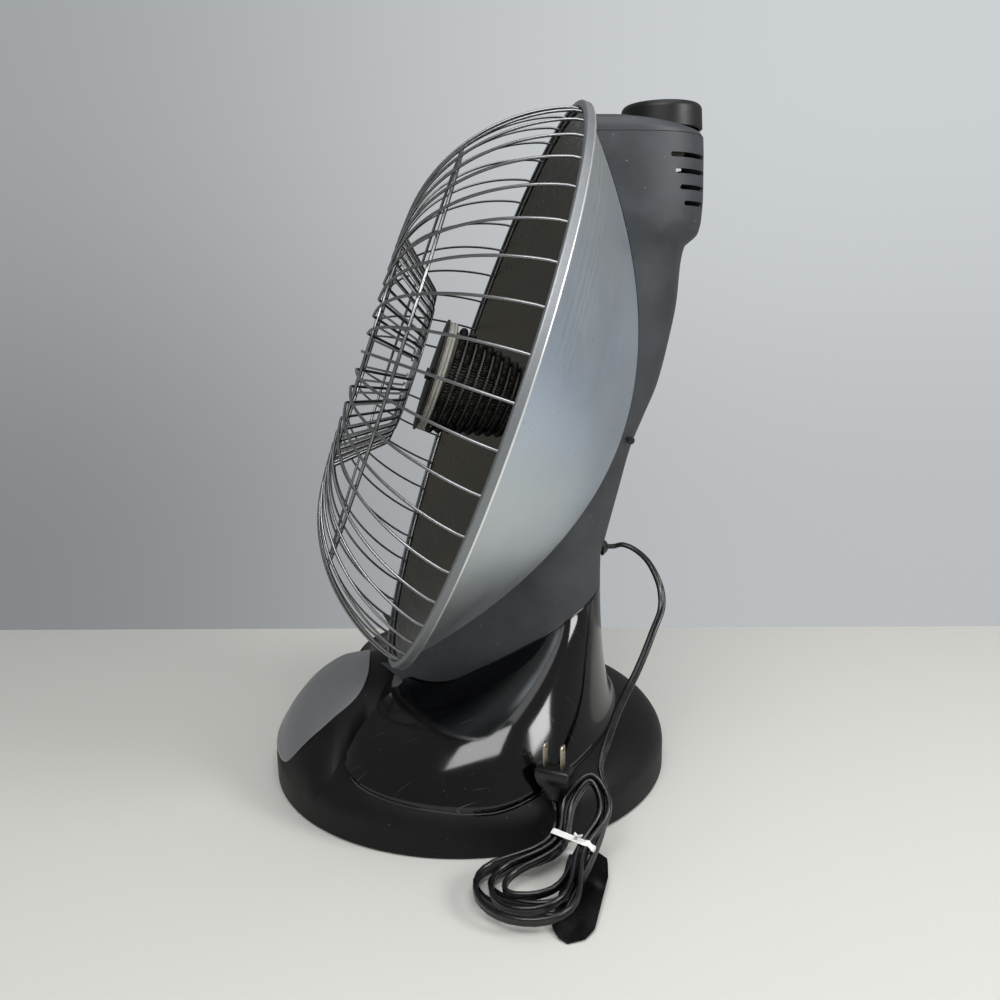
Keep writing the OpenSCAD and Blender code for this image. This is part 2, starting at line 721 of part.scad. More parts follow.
module control_knob() color("#161617") placed() translate([0, knob_y, knob_z]) {
    edge = 5;
    crown = 1.5;
    bore = shaft_r + 0.08;
    hub_r = shaft_r + 4;
    rotate_extrude($fn = 96)
        polygon(concat(
            [[hub_r, 1], [hub_r, knob_h - 5], [knob_r - 3, knob_h - 5], [knob_r - 2.5, 0], [knob_r, 0]],
            [for (a = [0 : 15 : 90]) [knob_r - 0.7 - edge + edge * cos(a), knob_h - crown - edge + edge * sin(a)]],
            [[0, knob_h], [0, knob_h - 5.5], [bore, knob_h - 5.5], [bore, 1]]));
}

// ---------- tip-over switch ----------

switch_top = floor_z + 36;
guide_top = floor_z + 7;
collar_low = guide_top + plunger_travel + 0.5;
plunger_collar_t = 2.5;
module at_tip() {
    placed() translate([0, tip_y, 0]) children();
}
module tip_switch() color("#d8d3c2") at_tip() difference() {
    translate([-13, -13, floor_z]) cube([26, 26, switch_top - floor_z]);
    translate([0, 0, guide_top]) cylinder(h = switch_top - 3 - guide_top, r = 2 * plunger_r);
    translate([0, 0, 0]) cylinder(h = switch_top - 4, r = plunger_r + running);
}
module tip_plunger() color("#c23b2c") at_tip() {
    cylinder(h = collar_low + 1, r = plunger_r);
    translate([0, 0, collar_low]) cylinder(h = plunger_collar_t, r = 2 * plunger_r - 1);
    cylinder(h = switch_top - 8, r = 2);
}
spring_turns = 5;
spring_wire = 1;
module tip_spring() color("#b8b9bb") at_tip() {
    low = collar_low + plunger_collar_t + spring_wire / 2 + 0.2;
    high = switch_top - 3 - spring_wire / 2 - 0.2;
    r = plunger_r + 0.3;
    rings = 8;
    sides = 6;
    loft([for (i = [0 : rings * spring_turns])
        let (a = 360 * i / rings, z = low + (high - low) * i / (rings * spring_turns),
             p = [r * cos(a), r * sin(a), z], out = unit([p[0], p[1], 0]))
        [for (k = [0 : sides - 1])
            let (b = 360 * (k + 0.5) / sides)
            p + out * (spring_wire / 2 * cos(b)) + [0, 0, spring_wire / 2 * sin(b)]]]);
}

// ---------- cord ----------

relief_out = 8;
relief_in = 16;
module strain_relief() color("#121213") placed() translate([0, neck_rear, relief_z]) rotate([-90, 0, 0])
    rotate_extrude() polygon([[0, -relief_in], [relief_r - 1, -relief_in], [relief_r, -relief_in + 2],
        [relief_r, 2.9], [relief_r + 1.3, 3], [relief_r + 1.3, 4], [cord_w / 2 + 0.7, relief_out], [0, relief_out]]);

relief_face = neck_rear + relief_out;
// Chosen points of the free stretch, from the strain relief to the hank
cord_points = [[0, relief_face, 176], [0, relief_face + 6, 176], [2, 131, 177.5], [6, 140, 174],
    [11, 149, 166], [17, 155, 155], [24, 158, 143], [33, 156, 130], [44, 147, 117], [58, 136.5, 104],
    [73, 125.5, 93], [90, 113, 84], [107, 102, 77], [123, 94, 71], [136, 88, 65]];

// The hank's middle line runs from its upper end down to the floor
hank_a = [148, 74, 60];
hank_c = [178, 72, 10];
hank_b = [238, 0, 7.3];
hank_path = 145;
function hank_spine(t) = pow(1 - t, 2) * hank_a + 2 * t * (1 - t) * hank_c + t * t * hank_b;
function hank_along(t) = unit(hank_spine(t + 0.01) - hank_spine(t - 0.01));
hank_loops = 5;
hank_rings = 24;
hank_layer = cord_w / 2 + 1;
hank_from = 200;
hank_to = 125;
hank_cut = 2;
waist_step = 1.25 * (cord_t + 0.8);
// One point of the hank at share u of its length, with the line across the hank there:
// loops spiral in, climb a layer and spiral out
function hank_point(u) =
    let (a = hank_from + u * (360 * hank_loops + hank_to - hank_from),
         k = 2 * abs(2 * u - 1),
         climb = min(1, max(-1, (u - 0.5) * 2 * hank_loops)),
         low = max(0, cos(a)),
         t = 0.5 + cos(a) * (54 + 5 * climb * low + 7.5 * k + k * cos(a)) / hank_path,
         waist = pow(sin(a), 6),
         lobe = (13 + 11 * k) * (1.22 + 0.66 * cos(a)),
         fan = (13 - 8 * climb) * pow(low, 2),
         q = sin(a) * ((1 - waist) * lobe + waist * (4.2 + waist_step * k)) + fan,
         along = hank_along(t), side = unit(cross(along, [0, 0, 1])), top = cross(side, along))
    [hank_spine(t) + side * q + top * (climb * hank_layer), top];
plug_at = [157, 47, 40];
plug_run = [[5, 0.5, -8], [1.5, 0.5, -4.5], [0, 0, -1.5], [0, 0, 0]];
hank_marks = [for (i = [0 : hank_rings * hank_loops - hank_cut]) hank_point(i / (hank_rings * hank_loops))];
hank_turns = [for (m = hank_marks) m[0]];
hank_tops = [for (m = hank_marks) m[1]];
hank_route = concat(hank_turns, [for (p = plug_run) plug_at + p]);
hank_upward = concat(hank_tops, [for (p = plug_run) hank_tops[len(hank_tops) - 1]]);
cord_route = concat(cord_points, [hank_route[0] - 5 * unit(hank_route[1] - hank_route[0]), hank_route[0]]);
// The cord turns on edge before it enters the hank
hank_face = unit(cross(hank_tops[0], hank_route[1] - hank_route[0]));
cord_upward = [for (i = [0 : len(cord_route) - 1])
    let (share = max(0, i - len(cord_points) + 7) / 8)
    (1 - share) * [0, 0, 1] + share * hank_face * (hank_face[2] < 0 ? -1 : 1)];

// Least gap between two turns of the hank
function half_size(i, d) =
    let (along = tangent(hank_turns, i), side = unit(cross(along, hank_tops[i])), top = cross(side, along))
    norm([cord_t / 2 * (d * side), cord_w / 2 * (d * top)]);
hank_gaps = [for (i = [0 : len(hank_turns) - 1], j = [i + 10 : 1 : len(hank_turns) - 1])
    let (d = hank_turns[j] - hank_turns[i])
    if (norm(d) < 12) norm(d) - half_size(i, unit(d)) - half_size(j, unit(d))];
function run_length(r, i = 0) = i >= len(r) - 1 ? 0 : norm(r[i + 1] - r[i]) + run_length(r, i + 1);
echo(hank_least_gap = min(hank_gaps), free_length = run_length(cord_route), hank_length = run_length(hank_route),
    lowest = min([for (p = hank_turns) p[2]]));

module cord_free() color("#0e0e0f") placed() tube(cord_route, cord_upward, cord_w, cord_t, 8);
module cord_hank() color("#0e0e0f") placed() tube(hank_route, hank_upward, cord_t, cord_w, 6);

// Local z lies along a direction, local y stays level
module aim(at, along) {
    translate(at) rotate([0, acos(along[2]), atan2(along[1], along[0])]) children();
}
tie_w = 4;
tie_half = [hank_layer + cord_w / 2 + 0.7, 4.2 + 2 * waist_step + cord_t / 2 + 1];
module cord_tie() color("#e8e8e6") placed() aim(hank_spine(0.5), hank_along(0.5))
    translate([0, 0, -tie_w / 2]) linear_extrude(height = tie_w) difference() {
        square(2 * (tie_half + [1, 1]), center = true);
        square(2 * tie_half, center = true);
    }

tag_t = 0.8;
tag_lean = 4;
module cord_tag() color("#0c0c0d") placed() translate([255, 39, 0]) rotate([0, -tag_lean, 161.6])
    linear_extrude(height = tag_t)
        polygon([[0, -3], [4, -11], [14, -15], [62, -18], [80, -16], [88, -8], [87, 4], [81, 11], [12, 12], [3, 8]]);

// Plug with its blades upwards, turned about its own axis
plug_turn = 60;
plug_h = 24;
blade_gap = 12.7;
module plug_frame() {
    placed() translate(plug_at) rotate([0, 0, plug_turn]) children();
}
module plug_body() color("#0f0f10") plug_frame() intersection() {
    rotate([90, 0, 0]) translate([0, 0, -20]) linear_extrude(height = 40)
        polygon([[-5, 0], [5, 0], [7, 8], [11, 13], [12.5, 18], [12.5, plug_h - 1.5], [11, plug_h], [-11, plug_h],
            [-12.5, plug_h - 1.5], [-12.5, 18], [-11, 13], [-7, 8]]);
    rotate([90, 0, 90]) translate([0, 0, -20]) linear_extrude(height = 40)
        polygon([[-3.5, 0], [3.5, 0], [5, 8], [6.5, 14], [6.5, plug_h - 1.5], [5.5, plug_h], [-5.5, plug_h],
            [-6.5, plug_h - 1.5], [-6.5, 14], [-5, 8]]);
}
module plug_blades() color("#c8c2b0") plug_frame() for (side = [-1, 1])
    translate([side * blade_gap / 2, 0, plug_h]) rotate([90, 0, 90]) translate([0, 0, -0.75])
        linear_extrude(height = 1.5) difference() {
            polygon([[-3.15, 0], [3.15, 0], [3.15, 16], [1.6, 17.5], [-1.6, 17.5], [-3.15, 16]]);
            translate([0, 13]) circle(r = 1.6);
        }

base_shell();
base_plate();
ballast_plate();
rubber_feet();
base_screws();
pedestal_shell();
pedestal_screws();
badge_plate();
head_shell();
head_cap();
head_screws();
dish_reflector();
rim_band();
guard_rim_ring();
guard_wires();
guard_ring_outer();
guard_ring_inner();
guard_disc();
element_core();
element_coil();
element_front_ring();
element_cap();
element_bolt();
element_collar();
dish_bracket();
terminal_block();
thermostat();
thermostat_nut();
control_shaft();
control_knob();
tip_switch();
tip_plunger();
tip_spring();
strain_relief();
cord_free();
cord_hank();
cord_tie();
cord_tag();
plug_body();
plug_blades();
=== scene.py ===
"""Looks of a parabolic heater, built round its packed solids: shells, metal, wire guard, coil and cord."""

from math import acos, atan, atan2, copysign, cos, degrees, hypot, pi, radians, sin, tan

import bmesh
import bpy
import numpy as np
from mathutils import Matrix, Vector


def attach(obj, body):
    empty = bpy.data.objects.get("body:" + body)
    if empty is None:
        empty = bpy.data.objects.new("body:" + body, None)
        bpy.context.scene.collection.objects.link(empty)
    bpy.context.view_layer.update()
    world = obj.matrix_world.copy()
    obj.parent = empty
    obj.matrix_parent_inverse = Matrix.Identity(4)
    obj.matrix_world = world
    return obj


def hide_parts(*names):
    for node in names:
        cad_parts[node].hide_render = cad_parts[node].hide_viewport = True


bl_info = {
    "name": "Parabolic heater",
    "version": (1, 0, 0),
    "blender": (4, 5, 0),
    "location": "View3D > Sidebar > Heater",
    "description": "Builds the looks of a tilted dish heater with its guard, housing, base and cord",
    "category": "Object",
}

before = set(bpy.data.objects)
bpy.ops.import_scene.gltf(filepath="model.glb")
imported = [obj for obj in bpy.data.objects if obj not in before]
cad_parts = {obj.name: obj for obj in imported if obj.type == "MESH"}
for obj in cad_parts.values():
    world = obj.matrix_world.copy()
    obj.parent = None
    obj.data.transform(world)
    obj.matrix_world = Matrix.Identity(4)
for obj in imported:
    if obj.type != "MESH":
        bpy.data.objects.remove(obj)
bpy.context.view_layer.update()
MM = 0.001


# ---------- sizes and colours that a user would change ----------


def length(name, text, millimetres, low, high):
    """A length in the panel, kept in metres."""
    return bpy.props.FloatProperty(name=name, description=text, default=millimetres * MM, min=low * MM,
                                   max=high * MM, subtype="DISTANCE", unit="LENGTH", precision=4)


def hue(name, text, code):
    """A colour in the panel, given as a hex code."""
    return bpy.props.FloatVectorProperty(name=name, description=text, subtype="COLOR", size=4, min=0, max=1,
                                         default=linear(code))


def linear(code):
    """An sRGB hex value as Blender's linear colour."""
    parts = [int(code[i:i + 2], 16) / 255 for i in (1, 3, 5)]
    return tuple([c / 12.92 if c <= 0.04045 else ((c + 0.055) / 1.055) ** 2.4 for c in parts] + [1.0])


class HeaterSizes(bpy.types.PropertyGroup):
    sheet: length("Sheet", "Thickness of the spun sheet", 0.9, 0.6, 1.2)
    wire: length("Guard wire", "Diameter of a guard wire", 2.0, 1.6, 2.4)
    ring: length("Guard ring", "Diameter of the guard's rings", 2.5, 2, 3)
    wires: bpy.props.IntProperty(name="Wires", description="Number of guard wires", default=48, min=36,
                                 max=52)
    coil_wire: length("Heating wire", "Diameter of the heating wire in its winding", 1.15, 0.6, 1.4)
    coil_step: length("Winding step", "Distance between the small turns of the heating wire", 2.1, 1.8, 4)
    edge: length("Edge", "Rounding of the small fittings' edges", 0.4, 0.2, 0.8)


class HeaterColours(bpy.types.PropertyGroup):
    base: hue("Base", "Black of the base", "#080809")
    boot: hue("Boot", "Glossy black of the pedestal", "#030304")
    housing: hue("Housing", "Charcoal of the housing", "#272a2e")
    metal: hue("Reflector", "Spun aluminium", "#c3c8cc")
    # the inner side's colour is far darker than the aluminium outside: painted shade inside the bowl
    inside: hue("Reflector inside", "Aluminium on the dish's inner side", "#6a675e")
    band: hue("Band", "Rim band", "#85888b")
    wire: hue("Wire", "Bright plated wire", "#8b8c8e")
    ceramic: hue("Ceramic", "Unglazed ceramic of the ring", "#aaaaa2")
    badge: hue("Badge", "Silver paint of the bare plate", "#787a7d")
    cord: hue("Cord", "Black of the cord", "#080809")


# ---------- places of the solids, in millimetres from the base's centre ----------

FRAME_Y = 13.25  # the model's own frame lies this far behind the base's centre
WALL, SEAT = 2.6, 0.3
TILT = radians(20.3)
DISH_R, DISH_DEPTH, DISH_Y, SHEET = 219.0, 112.0, 10.0, 0.9
RIM_LOW = 96
BAND_DEPTH, BAND_WALL, BAND_LIP, BAND_FRONT = 7.0, 0.8, 5.6, -0.2
BAND_R = DISH_R + BAND_LIP + BAND_WALL
BAND_BACK = BAND_FRONT - BAND_DEPTH
PAINTED_HIGHLIGHT_EDGE = 1.9  # the band's back edge is painted bright this far, as a highlight
DISH_Z = RIM_LOW + BAND_R * cos(TILT) - BAND_BACK * sin(TILT)
RIM_TOP = DISH_Z + BAND_R * cos(TILT)
FLANGE_Z = BAND_BACK + BAND_WALL
MOUTH_Z = FLANGE_Z + SHEET
APEX_Z = MOUTH_Z - DISH_DEPTH
ELEMENT_HOLE_R = 23.0
BASE_R, EDGE_H, CROWN = 162.0, 20.0, 62.0
CHIN_Y, CHIN_Z, CHIN_LEAN = -42, 79, radians(46.8)
NECK_W, NECK_REAR, NECK_FRONT, NECK_WIDE = 70.0, 110.0, -62.0, 42.0
SKIRT_W, SKIRT_FRONT, SKIRT_CORNER, SKIRT_REAR, SKIRT_LIP = 159.0, -78, -100, NECK_REAR + 12, 2.4
SEAM_Z, SEAM_SLOPE, SEAM_GAP = 100.0, 0.5, 0.2
BOLT_X, BOLT_YS, BOLT_R = 59, (12, 68), 1.8
HEAD_LOW = SEAM_Z + SEAM_SLOPE * NECK_REAR
HEAD_TOP = RIM_TOP - 9
COVER_Z, COVER_H, PARTING = HEAD_TOP - 19, 12.5, 0.35
KNOB_Y, KNOB_FLOOR, RECESS_R, BUSHING_R = 157.5, COVER_Z + 5, 33.5, 5.3
KNOB_Z = KNOB_FLOOR + 4
# the vents' number, upward step, half height, inner and outer ends, and place of the front one's edge
VENTS, VENT_STEP, VENT_HALF, VENT_IN, VENT_OUT, VENT_Y, VENT_BACK = 4, 11, 1.7, 24, 84, 150.7, 4
VENT_LOW = COVER_Z - 48
RELIEF_Z, RELIEF_R = 176, 6.3
HEAD_SCREW_Y, HEAD_SCREW_Z, HEAD_SCREW_SEAT, HEAD_SCREW_R, HEAD_SINK_R = 127.3, 271, 38.6, 1.6, 4
WIRE_START = (DISH_R + 0.4, MOUTH_Z + 1.6)
RIM_WIRE, RIM_WIRE_R = 3.2, WIRE_START[0] + SEAT + 2.6
NOSE_R, NOSE_Z, CUP_R, CUP_Z = 96.0, 90.0, 61.0, 52.0
SPRING_Y, SPRING_R, SPRING_LOW, SPRING_HIGH = 112, 4.3, 21.2, 36.8


def at(x, y, z):
    """A point given in millimetres from the base's centre, in the model's own frame in metres."""
    return Vector((x * MM, (y - FRAME_Y) * MM, z * MM))


def placed(x, y, z, angle=0.0, axis="X"):
    """Takes a piece's own millimetres, turned about one axis, to a point in the model's frame."""
    return Matrix.Translation(at(x, y, z)) @ Matrix.Rotation(angle, 4, axis) @ Matrix.Scale(MM, 4)


DISH_FRAME = placed(0, DISH_Y, DISH_Z, pi / 2 - TILT)  # z runs out of the dish's mouth and y up along it


def unit(v):
    v = np.asarray(v, float)
    return v / np.linalg.norm(v)


def shares(count):
    """Even steps from 0 to 1."""
    return [i / count for i in range(count + 1)]


def turns(count):
    """Even steps of one full turn, in radians."""
    return [2 * pi * i / count for i in range(count)]


def circle(r, z, count):
    return [(r * cos(a), r * sin(a), z) for a in turns(count)]


def arc(centre, r, start, end, steps):
    """Points [radius, height] on an arc between two angles in degrees."""
    angles = [radians(start + (end - start) * i / steps) for i in range(steps + 1)]
    return [[centre[0] + r * cos(a), centre[1] + r * sin(a)] for a in angles]


def bezier(a, b, c, d, t):
    a, b, c, d = (np.asarray(p, float) for p in (a, b, c, d))
    return (1 - t) ** 3 * a + 3 * (1 - t) ** 2 * t * b + 3 * (1 - t) * t * t * c + t ** 3 * d


def bent(a, b, c, t):
    """A point on the curve from a to c that is drawn towards b."""
    return (1 - t) ** 2 * a + 2 * t * (1 - t) * b + t * t * c


def through(points, steps):
    """A smooth line through chosen points."""
    p = [np.asarray(x, float) for x in points]
    p = [2 * p[0] - p[1]] + p + [2 * p[-1] - p[-2]]
    out = []
    for a, b, c, d in zip(p, p[1:], p[2:], p[3:]):
        out += [0.5 * (2 * b + (c - a) * t + (2 * a - 5 * b + 4 * c - d) * t * t
                       + (3 * b - a - 3 * c + d) * t ** 3) for t in shares(steps)[:-1]]
    return out + [p[-2]]


def smooth_table(rows, count):
    """Rows of numbers, the first column rising, drawn through by one smooth curve without overshoot."""
    rows = np.asarray(rows, float)
    x = rows[:, 0]
    h = np.diff(x)
    where = np.unique(np.concatenate([x, np.linspace(x[0], x[-1], count)]))
    k = np.clip(np.searchsorted(x, where, side="right") - 1, 0, len(x) - 2)
    t = (where - x[k]) / h[k]
    out = [where]
    for y in rows[:, 1:].T:
        slope = np.diff(y) / h
        m = np.zeros(len(x))
        m[0], m[-1] = slope[0], slope[-1]
        for i in range(1, len(x) - 1):
            if slope[i - 1] * slope[i] > 0:
                m[i] = 2 / (1 / slope[i - 1] + 1 / slope[i])
        out.append((2 * t ** 3 - 3 * t ** 2 + 1) * y[k] + (t ** 3 - 2 * t ** 2 + t) * h[k] * m[k]
                   + (3 * t ** 2 - 2 * t ** 3) * y[k + 1] + (t ** 3 - t ** 2) * h[k] * m[k + 1])
    return np.array(out).T


# ---------- meshes ----------


def new_object(name, data):
    obj = bpy.data.objects.new(name, data)
    bpy.context.scene.collection.objects.link(obj)
    return obj


def drop(*objs):
    for obj in objs:
        bpy.data.objects.remove(obj)


def soften(obj, angle):
    """Shades a piece smooth, apart from the edges sharper than an angle in degrees."""
    mesh = obj.data
    mesh.polygons.foreach_set("use_smooth", [True] * len(mesh.polygons))
    mesh.set_sharp_from_angle(angle=radians(angle))
    mesh.update()


def merge(obj, last_step):
    """Merges a piece's doubles and takes its mesh through one more step."""
    mesh = bmesh.new()
    mesh.from_mesh(obj.data)
    bmesh.ops.remove_doubles(mesh, verts=mesh.verts, dist=1e-7)
    last_step(mesh)
    mesh.to_mesh(obj.data)
    mesh.free()
    obj.data.update()


def outward(obj):
    """Merges doubles and turns every face of a closed piece outwards."""
    merge(obj, lambda mesh: bmesh.ops.recalc_face_normals(mesh, faces=mesh.faces))


def piece(name, verts, faces, place=Matrix.Identity(4)):
    mesh = bpy.data.meshes.new(name)
    mesh.from_pydata([tuple(v) for v in verts], [], faces)
    mesh.transform(place)
    mesh.update()
    return new_object(name, mesh)


def closed_piece(name, verts, faces, angle, place=Matrix.Identity(4)):
    """A closed solid with its faces outwards, smooth where they meet at less than an angle in degrees."""
    obj = piece(name, verts, faces, place)
    outward(obj)
    soften(obj, angle)
    return obj


def ring_solid(rings, closed=False):
    """Vertices and faces through rings of equally many points, with flat ends or joined to the first ring."""
    n, m = len(rings[0]), len(rings)
    verts = [p for ring in rings for p in ring]
    faces = []
    for k in range(m if closed else m - 1):
        a, b = k * n, (k + 1) % m * n
        faces += [(a + i, a + (i + 1) % n, b + (i + 1) % n, b + i) for i in range(n)]
    if not closed:
        faces += [tuple(range(n))[::-1], tuple((m - 1) * n + i for i in range(n))]
    return verts, faces


def loft(name, rings, angle=32):
    """A closed solid through rings of points in millimetres from the base's centre."""
    return closed_piece(name, *ring_solid([[tuple(at(*p)) for p in ring] for ring in rings]), angle)


def lathe(name, profile, place, segments=160, angle=32):
    """A turned piece: a closed profile of [radius, height] in millimetres, turned about the height line."""
    verts, index = [], []
    for r, z in profile:
        ring = [(0, 0, z)] if r < 1e-6 else circle(r, z, segments)
        index.append([len(verts) + i % len(ring) for i in range(segments)])
        verts += ring
    faces = []
    for a, b in zip(index, index[1:] + index[:1]):
        for i in range(segments):
            j = (i + 1) % segments
            corners = tuple(dict.fromkeys((a[i], a[j], b[j], b[i])))
            if len(corners) > 2:
                faces.append(corners)
    return closed_piece(name, verts, faces, angle, place)


def rod(name, r, low, high, place, segments=64):
    """A round bar between two heights."""
    return lathe(name, [[0, low], [r, low], [r, high], [0, high]], place, segments)


def block(name, low, high, place=Matrix.Identity(4)):
    """A box between two corners, turned and moved by a matrix, as a tool for cutting."""
    (x0, y0, z0), (x1, y1, z1) = low, high
    verts = [(x, y, z) for z in (z0, z1) for x, y in ((x0, y0), (x1, y0), (x1, y1), (x0, y1))]
    faces = [(3, 2, 1, 0), (4, 5, 6, 7), (0, 1, 5, 4), (1, 2, 6, 5), (2, 3, 7, 6), (3, 0, 4, 7)]
    return piece(name, verts, faces, placed(0, 0, 0) @ place)


def tube(name, path, ups, section, closed=False):
    """A section of [side, up] millimetres swept along a path in metres, its up side held to given lines."""
    path = [np.asarray(p, float) for p in path]
    n, rings = len(path), []
    for i, (p, up) in enumerate(zip(path, ups)):
        ahead = path[(i + 1) % n] if closed else path[min(i + 1, n - 1)]
        behind = path[i - 1] if closed or i else path[0]
        along = unit(ahead - behind)
        side = unit(np.cross(along, up))
        top = np.cross(side, along)
        rings.append([tuple(p + (side * s + top * t) * MM) for s, t in section])
    return closed_piece(name, *ring_solid(rings, closed), 60)


def finished(obj):
    """Turns an object with modifiers into a plain mesh object."""
    name = obj.name
    mesh = bpy.data.meshes.new_from_object(obj.evaluated_get(bpy.context.evaluated_depsgraph_get()))
    mesh.transform(obj.matrix_world)
    drop(obj)
    return new_object(name, mesh)


def combine(how, obj, *tools):
    """One solid from a piece and its tools, by UNION, DIFFERENCE or INTERSECT."""
    for tool in tools:
        mod = obj.modifiers.new("combine", "BOOLEAN")
        mod.operation, mod.solver, mod.object = how, "MANIFOLD", tool
    made = finished(obj)
    drop(*tools)
    return made


def rounded(obj, width):
    """Rounds the sharp edges of a piece by a small radius in metres."""
    merge(obj, lambda mesh: bmesh.ops.dissolve_limit(mesh, angle_limit=radians(0.5), verts=mesh.verts,
                                                     edges=mesh.edges))
    mod = obj.modifiers.new("edge", "BEVEL")
    mod.width, mod.segments, mod.limit_method, mod.angle_limit = width, 2, "ANGLE", radians(40)
    mod.use_clamp_overlap = True
    return finished(obj)


def paint(obj, *materials):
    obj.data.materials.clear()
    for material in materials:
        obj.data.materials.append(material)


def settle(obj, slot_name, *nodes, body="heater"):
    """Rides a finished piece on its body, in place of its solids."""
    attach(obj, body)
    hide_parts(*nodes)
    return obj


def fitting(node, slot_name, material, edge=0.0, body="heater"):
    """A small piece: a clean copy of its solid's own mesh, with its sharp edges rounded."""
    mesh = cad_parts[node].data.copy()
    obj = new_object(node + "_look", mesh)
    outward(obj)
    if edge:
        obj = rounded(obj, edge)
    soften(obj, 32)
    paint(obj, material)
    return settle(obj, slot_name, node, body=body)


# ---------- materials ----------


def add(tree, kind, inputs=(), output=0, **settings):
    """Adds a node with its settings and its inputs, by name or in order, and gives one of its outputs."""
    made = tree.nodes.new(kind)
    for key, value in settings.items():
        setattr(made, key, value)
    fill(made, inputs)
    return made.outputs[output] if len(made.outputs) else None


def fill(node, inputs):
    """Sets a node's inputs to values, or links them to other nodes' outputs."""
    for key, value in inputs.items() if isinstance(inputs, dict) else enumerate(inputs):
        if isinstance(value, bpy.types.NodeSocket):
            node.id_data.links.new(value, node.inputs[key])
        else:
            node.inputs[key].default_value = value


def tint(colour, factors, lift=0.0):
    """A colour made lighter or darker by one factor, or by a factor for each channel."""
    return tuple([min(1, c * f + lift) for c, f in zip(colour, np.broadcast_to(factors, 3))] + [1.0])


def material(recipe):
    """Makes a recipe for a shader's inputs into a function that makes the material once for each name."""
    def make(name, *values):
        if name in bpy.data.materials:
            return bpy.data.materials[name]
        made = bpy.data.materials.new(name)
        made.use_nodes = True
        tree = made.node_tree
        tree.nodes.clear()
        shader = add(tree, "ShaderNodeBsdfPrincipled")
        add(tree, "ShaderNodeOutputMaterial", {"Surface": shader})
        fill(shader.node, recipe(tree, add(tree, "ShaderNodeTexCoord", output="Object"), *values))
        return made
    make.__doc__ = recipe.__doc__
    return make


# the sockets of a node that mixes two colours by a share, and the settings that make it one
SHARE, ONE, TWO = 0, 6, 7
COLOURS = {"output": 2, "data_type": "RGBA"}


def grain(tree, place, size_mm, depth_mm, strength=1.0):
    """Fine moulded grain as a normal, its bumps a given number of millimetres across."""
    noise = add(tree, "ShaderNodeTexNoise", {"Vector": place, "Scale": 1000 / size_mm, "Detail": 3.0,
                                             "Roughness": 0.6})
    return add(tree, "ShaderNodeBump", {"Height": noise, "Strength": strength, "Distance": depth_mm * MM})


def dust(tree, place, size_mm, amount, strength):
    """Sparse specks of dust, a given number of millimetres apart; amount is the speck's share of its cell."""
    cells = add(tree, "ShaderNodeTexVoronoi", {"Vector": place, "Scale": 1000 / size_mm, "Randomness": 1.0})
    specks = add(tree, "ShaderNodeMapRange", (cells, amount * 0.6, amount, 1.0, 0.0))
    return add(tree, "ShaderNodeMath", (specks, strength), operation="MULTIPLY")


def scratches(tree, place, width_mm, strength):
    """Hairline scratches in two directions, thirty times as long as wide, drawn wide enough to show."""
    lines = []
    for turn in ((0.3, 0.2, 0.7), (1.1, 0.5, -0.4)):
        long = add(tree, "ShaderNodeMapping", {"Vector": place, "Scale": (1.0, 0.03, 0.03), "Rotation": turn})
        streak = add(tree, "ShaderNodeTexNoise", {"Vector": long, "Scale": 1000 / width_mm, "Detail": 0.0})
        lines.append(add(tree, "ShaderNodeMapRange", (streak, 0.8, 0.86, 0.0, 1.0)))
    both = add(tree, "ShaderNodeMath", lines, operation="MAXIMUM")
    return add(tree, "ShaderNodeMath", (both, strength), operation="MULTIPLY")


@material
def moulded_abs(tree, place, colour, roughness, grain_mm, depth_mm, dusty=0.05, specular=0.5, wear=1.4):
    """Injection-moulded ABS with a spark-eroded grain: dark, with a broad dull sheen and a little dust."""
    broad = add(tree, "ShaderNodeTexNoise", {"Vector": place, "Scale": 1000 / 45.45, "Detail": 4.0,
                                             "Roughness": 0.65})
    worn = add(tree, "ShaderNodeMapRange", (broad, 0.35, 0.7, 0.0, 1.0))
    body = add(tree, "ShaderNodeMix", {SHARE: worn, ONE: colour, TWO: tint(colour, wear, 0.002)}, **COLOURS)
    specks = dust(tree, place, 9.0, 0.07, dusty * 4)
    dusted = add(tree, "ShaderNodeMix", {SHARE: specks, ONE: body, TWO: linear("#8d8c88")}, **COLOURS)
    return {
        "Base Color": dusted,
        "Roughness": add(tree, "ShaderNodeMapRange", (broad, 0.3, 0.7, roughness - 0.05, roughness + 0.07)),
        "IOR": 1.5, "Specular IOR Level": specular, "Normal": grain(tree, place, grain_mm, depth_mm)}


@material
def polished_abs(tree, place, colour):
    """Mirror-polished black ABS: sharp reflections, broken by hairline scratches, smudges and dust."""
    smudge = add(tree, "ShaderNodeTexNoise", {"Vector": place, "Scale": 1000 / 62.5, "Detail": 5.0,
                                              "Roughness": 0.6})
    both = add(tree, "ShaderNodeMath", (scratches(tree, place, 0.8, 0.3), dust(tree, place, 7.0, 0.055, 0.5)),
               operation="MAXIMUM", use_clamp=True)
    patches = add(tree, "ShaderNodeMapRange", (smudge, 0.42, 0.6, 0.15, 1.0))
    marks = add(tree, "ShaderNodeMath", (both, patches), operation="MULTIPLY")
    wavy = add(tree, "ShaderNodeTexNoise", {"Vector": place, "Scale": 1000 / 33.33, "Detail": 1.0})
    marked = add(tree, "ShaderNodeMix", {SHARE: marks, ONE: colour, TWO: linear("#77787a")}, **COLOURS)
    return {
        "Base Color": marked,
        "Roughness": add(tree, "ShaderNodeMapRange", (smudge, 0.3, 0.75, 0.05, 0.17)), "IOR": 1.52,
        "Normal": add(tree, "ShaderNodeBump", {"Height": wavy, "Strength": 0.25, "Distance": 0.2 * MM})}


